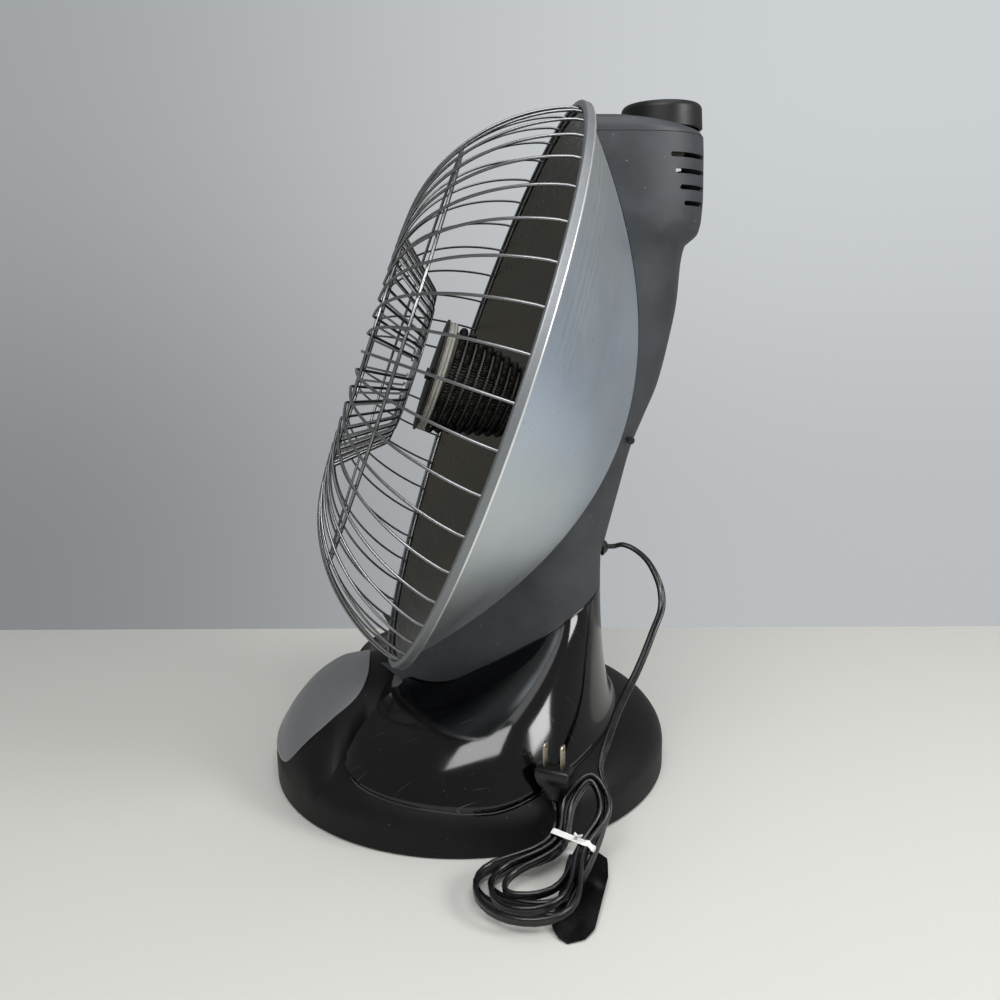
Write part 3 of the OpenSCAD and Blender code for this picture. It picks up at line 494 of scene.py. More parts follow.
@material
def spun_aluminium(tree, place, colour, roughness, ring_mm):
    """Aluminium sheet spun on a lathe: fine rings that stretch every highlight, and dull stains."""
    centred = add(tree, "ShaderNodeMapping", {"Vector": place, "Location": tuple(-DISH_FRAME.translation)})
    level = add(tree, "ShaderNodeMapping", {"Vector": centred, "Rotation": (TILT - pi / 2, 0, 0)})
    split = add(tree, "ShaderNodeSeparateXYZ", (level,)).node.outputs
    flat = add(tree, "ShaderNodeCombineXYZ", (split["X"], split["Y"]))
    radius = add(tree, "ShaderNodeVectorMath", (flat,), "Value", operation="LENGTH")
    rings = add(tree, "ShaderNodeTexNoise", {"W": radius, "Scale": 1000 / ring_mm, "Detail": 2.0},
                noise_dimensions="1D")
    cloud = add(tree, "ShaderNodeTexNoise", {"Vector": place, "Scale": 1000 / 111.1, "Detail": 5.0,
                                             "Roughness": 0.62})
    hazy = add(tree, "ShaderNodeTexNoise", {"Vector": place, "Scale": 1000 / 200, "Detail": 2.0})
    warmth = add(tree, "ShaderNodeMapRange", (hazy, 0.35, 0.65, 0.0, 1.0))
    cool, warm = tint(colour, (0.9, 0.99, 1.12)), tint(colour, (1.03, 1.01, 0.95))
    clean = add(tree, "ShaderNodeMix", {SHARE: warmth, ONE: cool, TWO: warm}, **COLOURS)
    stains = add(tree, "ShaderNodeMapRange", (cloud, 0.4, 0.75, 0.0, 0.25))
    tone = add(tree, "ShaderNodeMix", {SHARE: stains, ONE: clean, TWO: tint(colour, 0.72)}, **COLOURS)
    specks = dust(tree, place, 11.0, 0.075, 0.35)
    spread = add(tree, "ShaderNodeMapRange", (rings, 0.3, 0.7, -0.05, 0.05))
    dull = add(tree, "ShaderNodeMapRange", (cloud, 0.35, 0.7, roughness, roughness + 0.12))
    dusted = add(tree, "ShaderNodeMix", {SHARE: specks, ONE: tone, TWO: linear("#6f6a62")}, **COLOURS)
    return {
        "Base Color": dusted,
        "Metallic": 1.0, "Roughness": add(tree, "ShaderNodeMath", (spread, dull), operation="ADD"),
        "Normal": add(tree, "ShaderNodeBump", {"Height": rings, "Strength": 0.12, "Distance": 0.04 * MM})}


@material
def plated(tree, place, colour, roughness):
    """Bright nickel or chrome plating on drawn steel: clear reflections with a few dull patches."""
    cloud = add(tree, "ShaderNodeTexNoise", {"Vector": place, "Scale": 1000 / 16.67, "Detail": 4.0,
                                             "Roughness": 0.7})
    spots = add(tree, "ShaderNodeMapRange", (cloud, 0.5, 0.75, 0.0, 0.2))
    spotted = add(tree, "ShaderNodeMix", {SHARE: spots, ONE: colour, TWO: tint(colour, 0.6)}, **COLOURS)
    return {
        "Base Color": spotted,
        "Metallic": 1.0,
        "Roughness": add(tree, "ShaderNodeMapRange", (cloud, 0.3, 0.75, roughness, roughness + 0.16))}


@material
def painted(tree, place, colour, roughness, flake):
    """Silver lacquer with fine aluminium flake: half metallic, with a soft edgeless highlight."""
    cells = add(tree, "ShaderNodeTexVoronoi", {"Vector": place, "Scale": 1000 / 0.7})
    flakes = add(tree, "ShaderNodeMapRange", (cells, 0.0, 0.7, 0.0, 1.0))
    cloud = add(tree, "ShaderNodeTexNoise", {"Vector": place, "Scale": 1000 / 40, "Detail": 3.0})
    flaked = add(tree, "ShaderNodeMix", {SHARE: flakes, ONE: tint(colour, 1.25), TWO: colour}, **COLOURS)
    return {
        "Base Color": flaked,
        "Metallic": flake,
        "Roughness": add(tree, "ShaderNodeMapRange", (cloud, 0.3, 0.7, roughness - 0.04, roughness + 0.06))}


@material
def fired_ceramic(tree, place, colour):
    """Unglazed steatite: chalky and porous, stained a little by heat."""
    cloud = add(tree, "ShaderNodeTexNoise", {"Vector": place, "Scale": 1000 / 14.29, "Detail": 4.0,
                                             "Roughness": 0.7})
    burnt = add(tree, "ShaderNodeMapRange", (cloud, 0.45, 0.75, 0.0, 0.7))
    brown = tint(colour, (0.55, 0.5, 0.44))
    stained = add(tree, "ShaderNodeMix", {SHARE: burnt, ONE: colour, TWO: brown}, **COLOURS)
    return {
        "Base Color": stained,
        "Roughness": 0.72, "Normal": grain(tree, place, 0.8, 0.12)}


@material
def flexible_vinyl(tree, place, colour, roughness=0.27):
    """Soft black PVC of a lamp cord: a tight waxy highlight along each core, with finger marks."""
    cloud = add(tree, "ShaderNodeTexNoise", {"Vector": place, "Scale": 1000 / 18.18, "Detail": 4.0})
    fingers = add(tree, "ShaderNodeMapRange", (cloud, 0.5, 0.8, 0.0, 0.5))
    fingered = add(tree, "ShaderNodeMix", {SHARE: fingers, ONE: colour, TWO: linear("#18181b")}, **COLOURS)
    return {
        "Base Color": fingered,
        "Roughness": add(tree, "ShaderNodeMapRange", (cloud, 0.3, 0.7, roughness - 0.08, roughness + 0.1)),
        "IOR": 1.53, "Normal": grain(tree, place, 1.2, 0.03)}


@material
def heat_black(tree, place, colour, metallic, roughness):
    """Resistance alloy or enamelled steel that has been hot: nearly black, with a broken oxide sheen."""
    cloud = add(tree, "ShaderNodeTexNoise", {"Vector": place, "Scale": 1000 / 11.11, "Detail": 3.0})
    oxide = add(tree, "ShaderNodeMapRange", (cloud, 0.4, 0.7, 0.0, 0.7))
    oxidised = add(tree, "ShaderNodeMix", {SHARE: oxide, ONE: colour, TWO: linear("#2b2927")}, **COLOURS)
    return {
        "Base Color": oxidised,
        "Metallic": metallic, "Roughness": roughness, "Normal": grain(tree, place, 1.0, 0.04)}


@material
def table_paint(tree, place, colour):
    """Pale matt paint on the table, with the faint waves that a roller leaves."""
    return {"Base Color": colour, "Roughness": 0.62, "IOR": 1.45, "Normal": grain(tree, place, 6.0, 0.1, 0.3)}


def paints():
    """Every material, from the colours in the panel."""
    c = bpy.context.scene.heater_colours
    return {
        "base": moulded_abs("Base, matte black ABS", c.base, 0.55, 0.9, 0.05, 0.06, 0.22),
        "boot": polished_abs("Pedestal, polished black ABS", c.boot),
        "housing": moulded_abs("Housing, charcoal ABS", c.housing, 0.5, 0.8, 0.05, 0.14, 0.5, 1.9),
        "knob": moulded_abs("Knob, black phenolic", linear("#0c0c0d"), 0.45, 1.1, 0.03, 0.04, 0.35),
        "plate": moulded_abs("Bottom plate, grey ABS", linear("#2a2a2b"), 0.6, 1.0, 0.06, 0.02),
        "switch": moulded_abs("Switch, cream nylon", linear("#c9c3b0"), 0.45, 1.2, 0.03, 0.02),
        "plunger": moulded_abs("Plunger, red acetal", linear("#a8352a"), 0.35, 1.4, 0.03, 0.02),
        "tie": moulded_abs("Tie, white nylon", linear("#dcdcda"), 0.4, 1.6, 0.03, 0.0),
        "tag": flexible_vinyl("Tag, black vinyl sheet", linear("#0a0a0b"), 0.24),
        "rubber": moulded_abs("Feet, black rubber", linear("#101010"), 0.75, 0.6, 0.08, 0.05, 0.35),
        "reflector": spun_aluminium("Reflector, spun aluminium", c.metal, 0.38, 1.1),
        # the inner side is the outer aluminium made much darker: painted shade inside the bowl
        "inside": spun_aluminium("Reflector inside, polished aluminium", c.inside, 0.2, 1.3),
        "band": painted("Rim band, satin aluminium", c.band, 0.5, 0.85),
        # the rim band's back edge gets a brighter plating as a painted highlight
        "edge": plated("Rim band's edge, worn bright", linear("#e9ebec"), 0.32),
        "badge": painted("Plate, silver lacquer", c.badge, 0.38, 0.45),
        "wire": plated("Guard, bright nickel plate", c.wire, 0.26),
        # steel made dark: painted shade of the sunk head screws' seats, used also for the element's bolt
        "dark_steel": plated("Screws, blackened steel", linear("#3d3d3f"), 0.34),
        "steel": plated("Screws, zinc-plated steel", linear("#b9babc"), 0.3),
        "blade": plated("Blades, nickel-plated brass", linear("#a9a190"), 0.26),
        "ceramic": fired_ceramic("Ring, steatite", c.ceramic),
        # the cone is the ring's steatite made darker: painted shade between the heating wire's turns
        "cone": fired_ceramic("Cone, smoked steatite", linear("#77756e")),
        "coil": heat_black("Heating wire, oxidised", linear("#121111"), 0.6, 0.5),
        "cap": heat_black("Cap, heat-blackened steel", linear("#26272a"), 0.4, 0.5),
        "cord": flexible_vinyl("Cord, black vinyl", c.cord),
        "relief": moulded_abs("Strain relief, black nylon", linear("#0d0d0e"), 0.42, 1.0, 0.03, 0.02),
    }


# ---------- base and badge ----------

# ridge of the base's front ramp: distance from the base's centre, half width and height
RAMP = [[-161, 16, 23], [-158, 34, 32], [-154, 48, 40], [-147, 67, 49], [-134, 91, 62], [-121, 107, 70.5],
        [-109, 112, 77], [-99, 104, 81.5], [-91, 91, 85.5], [-83, 80, 88.5], [-70, 76, 91.9], [-55, 78, 93.5],
        [-44, 78, 93.5]]
# half of the bare plate's outline, from its front middle to its rear middle
BADGE = [(0, -161.6), (25, -159.6), (47, -153.8), (60.5, -147.5), (66.8, -141), (69.3, -133), (69.3, -124),
         (67, -115.5), (62, -106.5), (54.9, -97.7), (46, -90.6), (35, -85.6), (22, -83), (10, -82.6),
         (0, -82.6)]
# the crown falls off to its edge as a flattened round, by these powers
CROWN_OUT, CROWN_UP = 4.3, 1.9


def puck(name, grow, low, steps=28):
    """The base's round body: an upright edge and a low crown."""
    r, h = BASE_R + grow, CROWN - EDGE_H + grow
    angles = [radians(90 * i / steps) for i in range(steps)]
    side = [[r * cos(a) ** (2 / CROWN_OUT), EDGE_H + h * sin(a) ** (2 / CROWN_UP)] for a in angles]
    return lathe(name, [[0, low], [r, low]] + side + [[0.0, EDGE_H + h]], placed(0, 0, 0), 192)


def base_top(x, y):
    """Height of the base's crown at a place."""
    share = min(1, hypot(x, y) / BASE_R)
    return EDGE_H + (CROWN - EDGE_H) * max(0, 1 - share ** CROWN_OUT) ** (1 / CROWN_UP)


def ramp_form(name, grow, back=0, steps=48):
    """The ramp that rises from the base's front edge to the housing's chin."""
    rows = smooth_table(RAMP, 50)
    rows[-1][0] += back
    rows[0][0] -= grow
    angles = [radians(-90 + 180 * i / steps) for i in range(steps + 1)]
    return loft(name, [[((half + grow) * sin(a), y, EDGE_H + (ridge - EDGE_H + grow) * cos(a))
                        for a in angles] for y, half, ridge in rows])


def chin_front(name, gap):
    """Everything in front of the housing's sloping chin."""
    place = Matrix.Translation((0, CHIN_Y - gap, CHIN_Z)) @ Matrix.Rotation(CHIN_LEAN, 4, "X")
    return block(name, (-120, -200, -120), (120, 0, 160), place)


def make_base(sizes, look):
    """The hollow base with its front ramp, plate, ballast, feet and screws."""
    ramp = combine("INTERSECT", ramp_form("base_ramp", 0), chin_front("chin_tool", SEAT))
    base = combine("UNION", puck("base", 0, 2), ramp)
    base = combine("DIFFERENCE", base, puck("base_inner", -WALL, 1), ramp_form("ramp_inner", -WALL, -WALL))
    soften(base, 32)
    paint(base, look["base"])
    settle(base, "base_black", "base_shell")
    fitting("base_plate", "plate_dark", look["plate"], sizes.edge)
    fitting("ballast_plate", "steel", look["steel"])
    fitting("rubber_feet", "rubber", look["rubber"], sizes.edge)
    fitting("base_screws", "steel", look["steel"], sizes.edge / 2)


def make_badge(sizes, look):
    """The bare plate on the ramp: a skin over ramp and base edge, trimmed to its outline."""
    skin = combine("UNION", ramp_form("badge", SEAT + 1), puck("badge_puck", SEAT + 1, EDGE_H))
    skin = combine("DIFFERENCE", skin, ramp_form("badge_ramp", SEAT, 4), puck("badge_under", SEAT, 0))
    half = through(BADGE, 8)
    outline = []
    for x, y in half + [(-x, y) for x, y in half[-2:0:-1]]:
        inward = min(1, (BASE_R - 0.4) / hypot(x, y))
        outline.append((x * inward, y * inward))
    trim = loft("badge_trim", [[(x, y, z) for x, y in outline] for z in (EDGE_H, 110)])
    skin = rounded(combine("INTERSECT", skin, trim), 0.35 * MM)
    paint(skin, look["badge"])
    settle(skin, "badge_silver", "badge_plate")


# ---------- pedestal ----------


def half_outline(front, corner, side, rear, k_side, full, spans=(8, 18, 30)):
    """Half of a plan outline, from its front middle to its rear middle, in three smooth spans."""
    k_front = (corner[0] * 0.5, front[1]), (corner[0] * 0.9, front[1])
    k_back = (side[0], side[1] + full * (rear[1] - side[1])), (full * side[0], rear[1])
    a, b, c = (shares(n) for n in spans)
    return ([bezier(front, *k_front, corner, t) for t in a[:-1]]
            + [bezier(corner, *k_side, side, t) for t in b[:-1]]
            + [bezier(side, *k_back, rear, t) for t in c])


def mirrored(half):
    """A whole outline from its half and the mirror image of it."""
    return list(half) + [(-p[0], *p[1:]) for p in half[-2:0:-1]]


def seam_at(y):
    """Height of the joint between housing and pedestal; it levels out under the dish's lowest point."""
    return SEAM_Z + SEAM_SLOPE * y + 12 * min(1.3, max(0, (-8 - y) / 32)) ** 2


def pedestal_ring(u, inset, lift):
    """Half of the pedestal's outline at share u of the way from the seam to the base, full at its flanks."""
    # the neck's outline at the seam, by its half width, front and rear
    w, f, r = NECK_W - inset, NECK_FRONT + inset, NECK_REAR - inset
    beside = (w - 12, f + 37), (w, NECK_WIDE - 35)
    top = half_outline((0, f), (w - 14, f + 12), (w, NECK_WIDE), (0, r), beside, 0.62)
    # the skirt's outline on the base
    w, r = SKIRT_W - 2 * inset, SKIRT_REAR - 2 * inset
    beside = (w - 31, SKIRT_CORNER), (w, -48)
    low = half_outline((0, SKIRT_FRONT), (w - 59, SKIRT_CORNER), (w, 0), (0, r), beside, 0.5)
    ring = []
    for a, b in zip(top, low):
        if inset:
            share, height = u ** 1.7, (1 - u) ** 2.4
        else:
            # hollow at the rear, and more and more convex towards the flanks and the front
            full = min(1, max(0, (degrees(atan2(b[0], b[1])) - 10) / 90))
            full *= full * (3 - 2 * full)
            share, height = bezier((0, 1), (0.02 + 0.26 * full, 0.45 + 0.33 * full),
                                   (0.3 + 0.5 * full, 0.03 + 0.56 * full), (1, 0), u)
        x, y = a + (b - a) * share
        rise = seam_at(a[1]) - base_top(*a) - SKIRT_LIP + lift
        ring.append((x, y, base_top(x, y) + SKIRT_LIP - inset + (rise + inset) * height))
    return ring


def eased(ring, steps):
    """Copies of a ring drawn in by the first of each pair and lowered by the second, to round an edge."""
    return [[(x * (1 - inward / hypot(x, y)), y * (1 - inward / hypot(x, y)), z - down) for x, y, z in ring]
            for inward, down in steps]


def pedestal_form(name, inset, lift, last, steps=72):
    """The boot from the seam down to share `last` of its way, or the room within it."""
    rings = [mirrored(pedestal_ring(k / steps * last, inset, lift)) for k in range(steps + 1)]
    if not inset:
        rings[:1] = eased(rings[0], ((0.9, 0), (0.5, 0.12), (0.15, 0.4), (0, 0.9)))
        rings[-1:] = eased(rings[-1], ((0.9, 0), (0.4, 0.12), (0.1, 0.4), (0, 0.9)))
    rings.append([(x, y, EDGE_H / 2) for x, y, _ in rings[-1]])
    return loft(name, rings[::-1], 40)


def make_pedestal(sizes, look):
    """The hollow glossy boot, seated on the base and its ramp."""
    room = combine("INTERSECT", pedestal_form("pedestal_room", WALL, 4, 7 / 12, 40),
                   block("room_tool", (-170, -30, 0), (170, 200, 300)))
    bolts = [rod("bolt_tool", BOLT_R, 0, 200, placed(x, y, 0)) for x in (-BOLT_X, BOLT_X) for y in BOLT_YS]
    body = combine("DIFFERENCE", pedestal_form("pedestal", 0, -SEAM_GAP, 1), room,
                   puck("pedestal_seat", SEAT, 0), ramp_form("pedestal_ramp", SEAT, 6), *bolts)
    soften(body, 35)
    paint(body, look["boot"])
    settle(body, "boot_gloss", "pedestal_shell")
    fitting("pedestal_screws", "steel", look["steel"])


# ---------- housing ----------

# rings of the housing and of its cover: share of the height, reach behind the neck, growth of the half width,
# place of the widest point and fullness of the rear
HEAD = [[-0.27, 0, 0, 42, 0.62], [-0.13, 0, 0, 42, 0.62], [0, 0, -1.5, 46, 0.61], [0.055, 0.5, -5, 50, 0.6],
        [0.1, 5, -8, 55, 0.59], [0.2, 15, -11, 65, 0.58], [0.3, 25, -13.5, 78, 0.57],
        [0.37, 35.5, -15, 88, 0.57], [0.44, 46, -15, 98, 0.57], [0.53, 54, -15, 108, 0.58],
        [0.62, 60, -14.5, 114, 0.59],
        [0.695, 62, -14, 118, 0.6], [0.73, 64.5, -12.5, 120, 0.61], [0.755, 74, -9.5, 124, 0.63],
        [0.78, 76.5, -8.5, 124, 0.64], [0.83, 77.5, -8, 124, 0.65], [0.92, 77, -8, 124, 0.65]]
COVER = [[0, 76.5, -8, 124, 0.65], [0.25, 74.5, -8, 123, 0.64], [0.5, 66, -8.5, 121, 0.63],
         [0.75, 52, -10.5, 116, 0.62], [1, 27, -18, 108, 0.6]]
HEAD_FRONT = -90


def head_ring(row, z, inset):
    """The housing's outline at one height; its front corners round off towards the neck."""
    _, reach, wider, wide_y, full = row
    w = NECK_W + wider - inset
    near = 1 - min(1, max(0, (z - HEAD_LOW) / 60))
    beside = (w - 12 * near, HEAD_FRONT + 60), (w, wide_y - 35)
    half = half_outline((0, HEAD_FRONT), (w - 14 * near, HEAD_FRONT + 12), (w, wide_y),
                        (0, NECK_REAR + reach - inset), beside, full, (4, 14, 34))
    return [(x, y, z) for x, y in mirrored(half)]


def head_form(name, inset):
    """The housing up to the parting line, or the room within its walls."""
    high = HEAD_TOP - HEAD_LOW
    rings = [head_ring(row, HEAD_LOW + row[0] * high, inset) for row in smooth_table(HEAD, 84)]
    return loft(name, rings + [head_ring(COVER[0], COVER_Z + (1 if inset else 0), inset)], 40)


def cover_form(name, inset):
    """The housing's low domed cover, or the room under it."""
    foot = -1 if inset else PARTING
    return loft(name, [head_ring(row, COVER_Z + (row[0] * (COVER_H - inset) if row[0] else foot), inset)
                       for row in smooth_table(COVER, 22)], 40)


def dish_in(r):
    """Height of the dish's inner side at a radius, in its own frame."""
    return APEX_Z + DISH_DEPTH * (r / DISH_R) ** 2


def keepout(name):
    """The dish and its band, grown by the seat, with the whole space before them."""
    r = DISH_R - 1
    rows = [[r * i / 48, dish_in(r * i / 48) - (SHEET + SEAT) * (1 + 0.4 * i / 48)] for i in range(49)]
    rows += [[r, BAND_BACK - SEAT], [BAND_R + SEAT, BAND_BACK - SEAT], [BAND_R + SEAT, 400], [0, 400]]
    return lathe(name, rows, DISH_FRAME, 192)


def vent(side, k):
    """A slot round one rear corner of the housing, with a round front end."""
    a, b = sorted((side * VENT_IN, side * VENT_OUT))
    y, z = VENT_Y + VENT_BACK * (VENTS - 1 - k), VENT_LOW + k * VENT_STEP
    slot = block("vent", (a, y, z - VENT_HALF), (b, y + 60, z + VENT_HALF))
    return combine("UNION", slot, rod("vent_end", VENT_HALF, 0, 60, placed(a, y, z, pi / 2, "Y"), 24))


def make_housing(sizes, look):
    """The housing with its vents, screw seats and cord hole, and the cover with the knob's well."""
    head = head_form("housing", 0)
    room = combine("DIFFERENCE", head_form("housing_room", WALL), chin_front("chin_wall", -WALL))
    seam = block("seam_tool", (-120, -200, -150), (120, 200, 0),
                 Matrix.Translation((0, 0, SEAM_Z)) @ Matrix.Rotation(atan(SEAM_SLOPE), 4, "X"))
    under = [(y, seam_at(y)) for y in range(-180, 1, 4)] + [(0, -150), (-180, -150)]
    tools = [room, keepout("dish_room"), seam, chin_front("chin_face", 0),
             loft("seam_front", [[(x, y, z) for y, z in under] for x in (-120, 120)])]
    tools += [vent(side, k) for k in range(VENTS) for side in (-1, 1)]
    tools.append(rod("relief_tool", RELIEF_R, 0, 60, placed(0, NECK_REAR - 20, RELIEF_Z, -pi / 2)))
    for side in (-1, 1):
        across = placed(0, HEAD_SCREW_Y, HEAD_SCREW_Z, side * pi / 2, "Y")
        tools += [rod("screw_tool", HEAD_SCREW_R, 20, 60, across),
                  rod("sink_tool", HEAD_SINK_R, HEAD_SCREW_SEAT, 68, across)]
    head = combine("DIFFERENCE", head, *tools)
    soften(head, 35)
    paint(head, look["housing"])
    settle(head, "housing_charcoal", "head_shell")
    well = placed(0, KNOB_Y, 0)
    room = combine("DIFFERENCE", cover_form("cover_room", WALL), rod("well", RECESS_R + WALL, 300, 600, well))
    cover = combine("DIFFERENCE", cover_form("cover", 0), room, keepout("dish_room"),
                    rod("well_low", RECESS_R, COVER_Z - 1, KNOB_FLOOR - WALL, well, 96),
                    rod("well_top", RECESS_R, KNOB_FLOOR, COVER_Z + 40, well, 96),
                    rod("bushing_tool", BUSHING_R, COVER_Z, COVER_Z + 40, well))
    soften(cover, 35)
    paint(cover, look["housing"])
    settle(cover, "housing_charcoal", "head_cap")
    # the head screws take the dark steel, painted shade of their sunk seats
    fitting("head_screws", "steel", look["dark_steel"], sizes.edge / 2)


# ---------- reflector and its band ----------


def make_dish(sizes, look):
    """The spun dish with its bright inner side, and the band crimped over its flange."""
    wall, rim, hole = sizes.sheet / MM, BAND_R - BAND_WALL - SEAT, ELEMENT_HOLE_R
    back = [hole + (DISH_R - 1 - hole) * i / 64 for i in range(65)]
    front = [hole + (DISH_R - hole) * i / 64 for i in range(64, -1, -1)]
    dish = lathe("reflector", [[r, dish_in(r) - wall] for r in back]
                 + [[DISH_R, FLANGE_Z], [rim, FLANGE_Z], [rim, MOUTH_Z]] + [[r, dish_in(r)] for r in front],
                 DISH_FRAME, 240)
    paint(dish, look["reflector"], look["inside"])
    out = (DISH_FRAME.to_3x3() @ Vector((0, 0, 1))).normalized()
    # faces turned into the bowl take the darker aluminium, painted shade
    for poly in dish.data.polygons:
        poly.material_index = int(poly.normal.dot(out) > 0.05)
    settle(dish, "reflector", "dish_reflector")

    lip, bend, inner = DISH_R + 2, 1.5, 0.75
    outer_r, inner_r = BAND_R - bend, BAND_R - BAND_WALL - inner
    band = lathe("rim_strip", [[lip, BAND_BACK]] + arc((outer_r, BAND_BACK + bend), bend, -90, 0, 8)
                 + arc((outer_r, BAND_FRONT - bend), bend, 0, 90, 8)
                 + [[lip, BAND_FRONT], [lip, BAND_FRONT - BAND_WALL]]
                 + arc((inner_r, BAND_FRONT - BAND_WALL - inner), inner, 90, 0, 4)
                 + arc((inner_r, FLANGE_Z + inner), inner, 0, -90, 4) + [[lip, FLANGE_Z]], DISH_FRAME, 240)
    paint(band, look["band"], look["edge"])
    # faces near the band's back edge take the painted highlight
    for poly in band.data.polygons:
        height = (poly.center - DISH_FRAME.translation).dot(out)
        poly.material_index = int(height < (BAND_BACK + PAINTED_HIGHLIGHT_EDGE) * MM)
    settle(band, "band_grey", "rim_band")


# ---------- wire guard ----------


def wire_tree():
    """Geometry Nodes: a round wire swept along a line and repeated round an axis."""
    tree = bpy.data.node_groups.get("Wires round an axis")
    if tree:
        return tree
    tree = bpy.data.node_groups.new("Wires round an axis", "GeometryNodeTree")
    face = tree.interface
    face.new_socket(name="Line", in_out="INPUT", socket_type="NodeSocketGeometry")
    for name, kind, value in (("Radius", "NodeSocketFloat", 0.001), ("Sides", "NodeSocketInt", 12),
                              ("Count", "NodeSocketInt", 1), ("Start", "NodeSocketFloat", 0.0)):
        face.new_socket(name=name, in_out="INPUT", socket_type=kind).default_value = value
    face.new_socket(name="Finish", in_out="INPUT", socket_type="NodeSocketMaterial")
    face.new_socket(name="Wires", in_out="OUTPUT", socket_type="NodeSocketGeometry")
    given = add(tree, "NodeGroupInput").node.outputs
    line = add(tree, "GeometryNodeMeshToCurve", {"Mesh": given["Line"]})
    size = {"Resolution": given["Sides"], "Radius": given["Radius"]}
    section = add(tree, "GeometryNodeCurvePrimitiveCircle", size)
    one = add(tree, "GeometryNodeCurveToMesh", {"Curve": line, "Profile Curve": section, "Fill Caps": True})
    places = add(tree, "GeometryNodePoints", {"Count": given["Count"]})
    step = add(tree, "ShaderNodeMath", (2 * pi, given["Count"]), operation="DIVIDE")
    turn = add(tree, "ShaderNodeMath", (add(tree, "GeometryNodeInputIndex"), step, given["Start"]),
               operation="MULTIPLY_ADD")
    about = add(tree, "ShaderNodeCombineXYZ", {"Z": turn})
    spread = add(tree, "GeometryNodeInstanceOnPoints", {"Points": places, "Instance": one, "Rotation": about})
    real = add(tree, "GeometryNodeRealizeInstances", {"Geometry": spread})
    smooth = add(tree, "GeometryNodeSetShadeSmooth", {"Geometry": real})
    done = add(tree, "GeometryNodeSetMaterial", {"Geometry": smooth, "Material": given["Finish"]})
    add(tree, "NodeGroupOutput", {"Wires": done})
    return tree


def wires(name, line, radius, place, finish, sides=12, count=1, start=0.0, closed=False):
    """Round wire of a given radius along a line, all in millimetres, repeated round the place's own axis."""
    mesh = bpy.data.meshes.new(name)
    edges = [(i, i + 1) for i in range(len(line) - 1)] + ([(len(line) - 1, 0)] if closed else [])
    mesh.from_pydata([tuple(p) for p in line], edges, [])
    obj = new_object(name, mesh)
    mod = obj.modifiers.new("wires", "NODES")
    mod.node_group = wire_tree()
    sockets = {i.name: i.identifier for i in mod.node_group.interface.items_tree if i.in_out == "INPUT"}
    given = {"Radius": radius, "Sides": sides, "Count": count, "Start": start, "Finish": finish}
    for key, value in given.items():
        mod[sockets[key]] = value
    made = finished(obj)
    made.data.transform(place)
    outward(made)
    soften(made, 60)
    return made


def rounded_line(points, bends, steps=8):
    """A line through [radius, height] points with its inner corners rounded by the given radii."""
    out = [points[0]]
    for (a, b, c), r in zip(zip(points, points[1:], points[2:]), bends):
        a, b, c = (np.asarray(p, float) for p in (a, b, c))
        before, after = unit(a - b), unit(c - b)
        reach = min(r / tan(acos(np.clip(before @ after, -1, 1)) / 2), 0.48 * np.linalg.norm(a - b),
                    0.48 * np.linalg.norm(c - b))
        out += [tuple(bent(b + before * reach, b, b + after * reach, t)) for t in shares(steps)]
    return out + [points[-1]]


def bow(t):
    """The guard's dome from the rim to its nose, as [radius, height] in the dish's own frame."""
    return bezier((WIRE_START[0], 0), (WIRE_START[0] - 13, 42), (160, 92), (NOSE_R, NOSE_Z), t)


def make_guard(sizes, look):
    """The wires, the three rings that join them and the disc at the cup's bottom."""
    wire, ring = sizes.wire / MM, sizes.ring / MM
    dome = [tuple(bow(i / 30)) for i in range(1, 29)]
    corners = [dome[-1], (NOSE_R - 0.2, NOSE_Z + 0.7), (CUP_R, CUP_Z), (CUP_R - 15, CUP_Z)]
    line = [(r, 0, z) for r, z in [WIRE_START] + dome[:-1] + rounded_line(corners, (3.4, 8))]
    guard = wires("guard_wire", line, wire / 2, DISH_FRAME, look["wire"], 12, sizes.wires,
                  pi / 2 + pi / sizes.wires)
    settle(guard, "guard_chrome", "guard_wires")
    behind, far = (wire + ring) / 2 + SEAT, 0.58
    along = unit(bow(far + 0.01) - bow(far - 0.01))
    normal = np.array((along[1], -along[0]))
    p = bow(far) - behind * normal * copysign(1, normal[1])
    rings = (("guard_ring_far", circle(*p, 192), ring / 2, "guard_ring_outer"),
             ("guard_ring_near", circle(NOSE_R + 1.5, NOSE_Z - behind, 160), ring / 2, "guard_ring_inner"),
             ("guard_ring_mouth", circle(RIM_WIRE_R, WIRE_START[1], 256), RIM_WIRE / 2, "guard_rim_ring"))
    for name, line, r, node in rings:
        settle(wires(name, line, r, DISH_FRAME, look["wire"], 14, closed=True), "guard_chrome", node)
    top, edge = CUP_Z - 1 - SEAT, 0.6
    disc = lathe("guard_plate", [[0, top - 2 * edge], [49.4, top - 2 * edge]]
                 + arc((49.4, top - edge), edge, -90, 90, 8) + [[0, top]], DISH_FRAME, 128)
    paint(disc, look["wire"])
    settle(disc, "guard_chrome", "guard_disc")


# ---------- heating element ----------


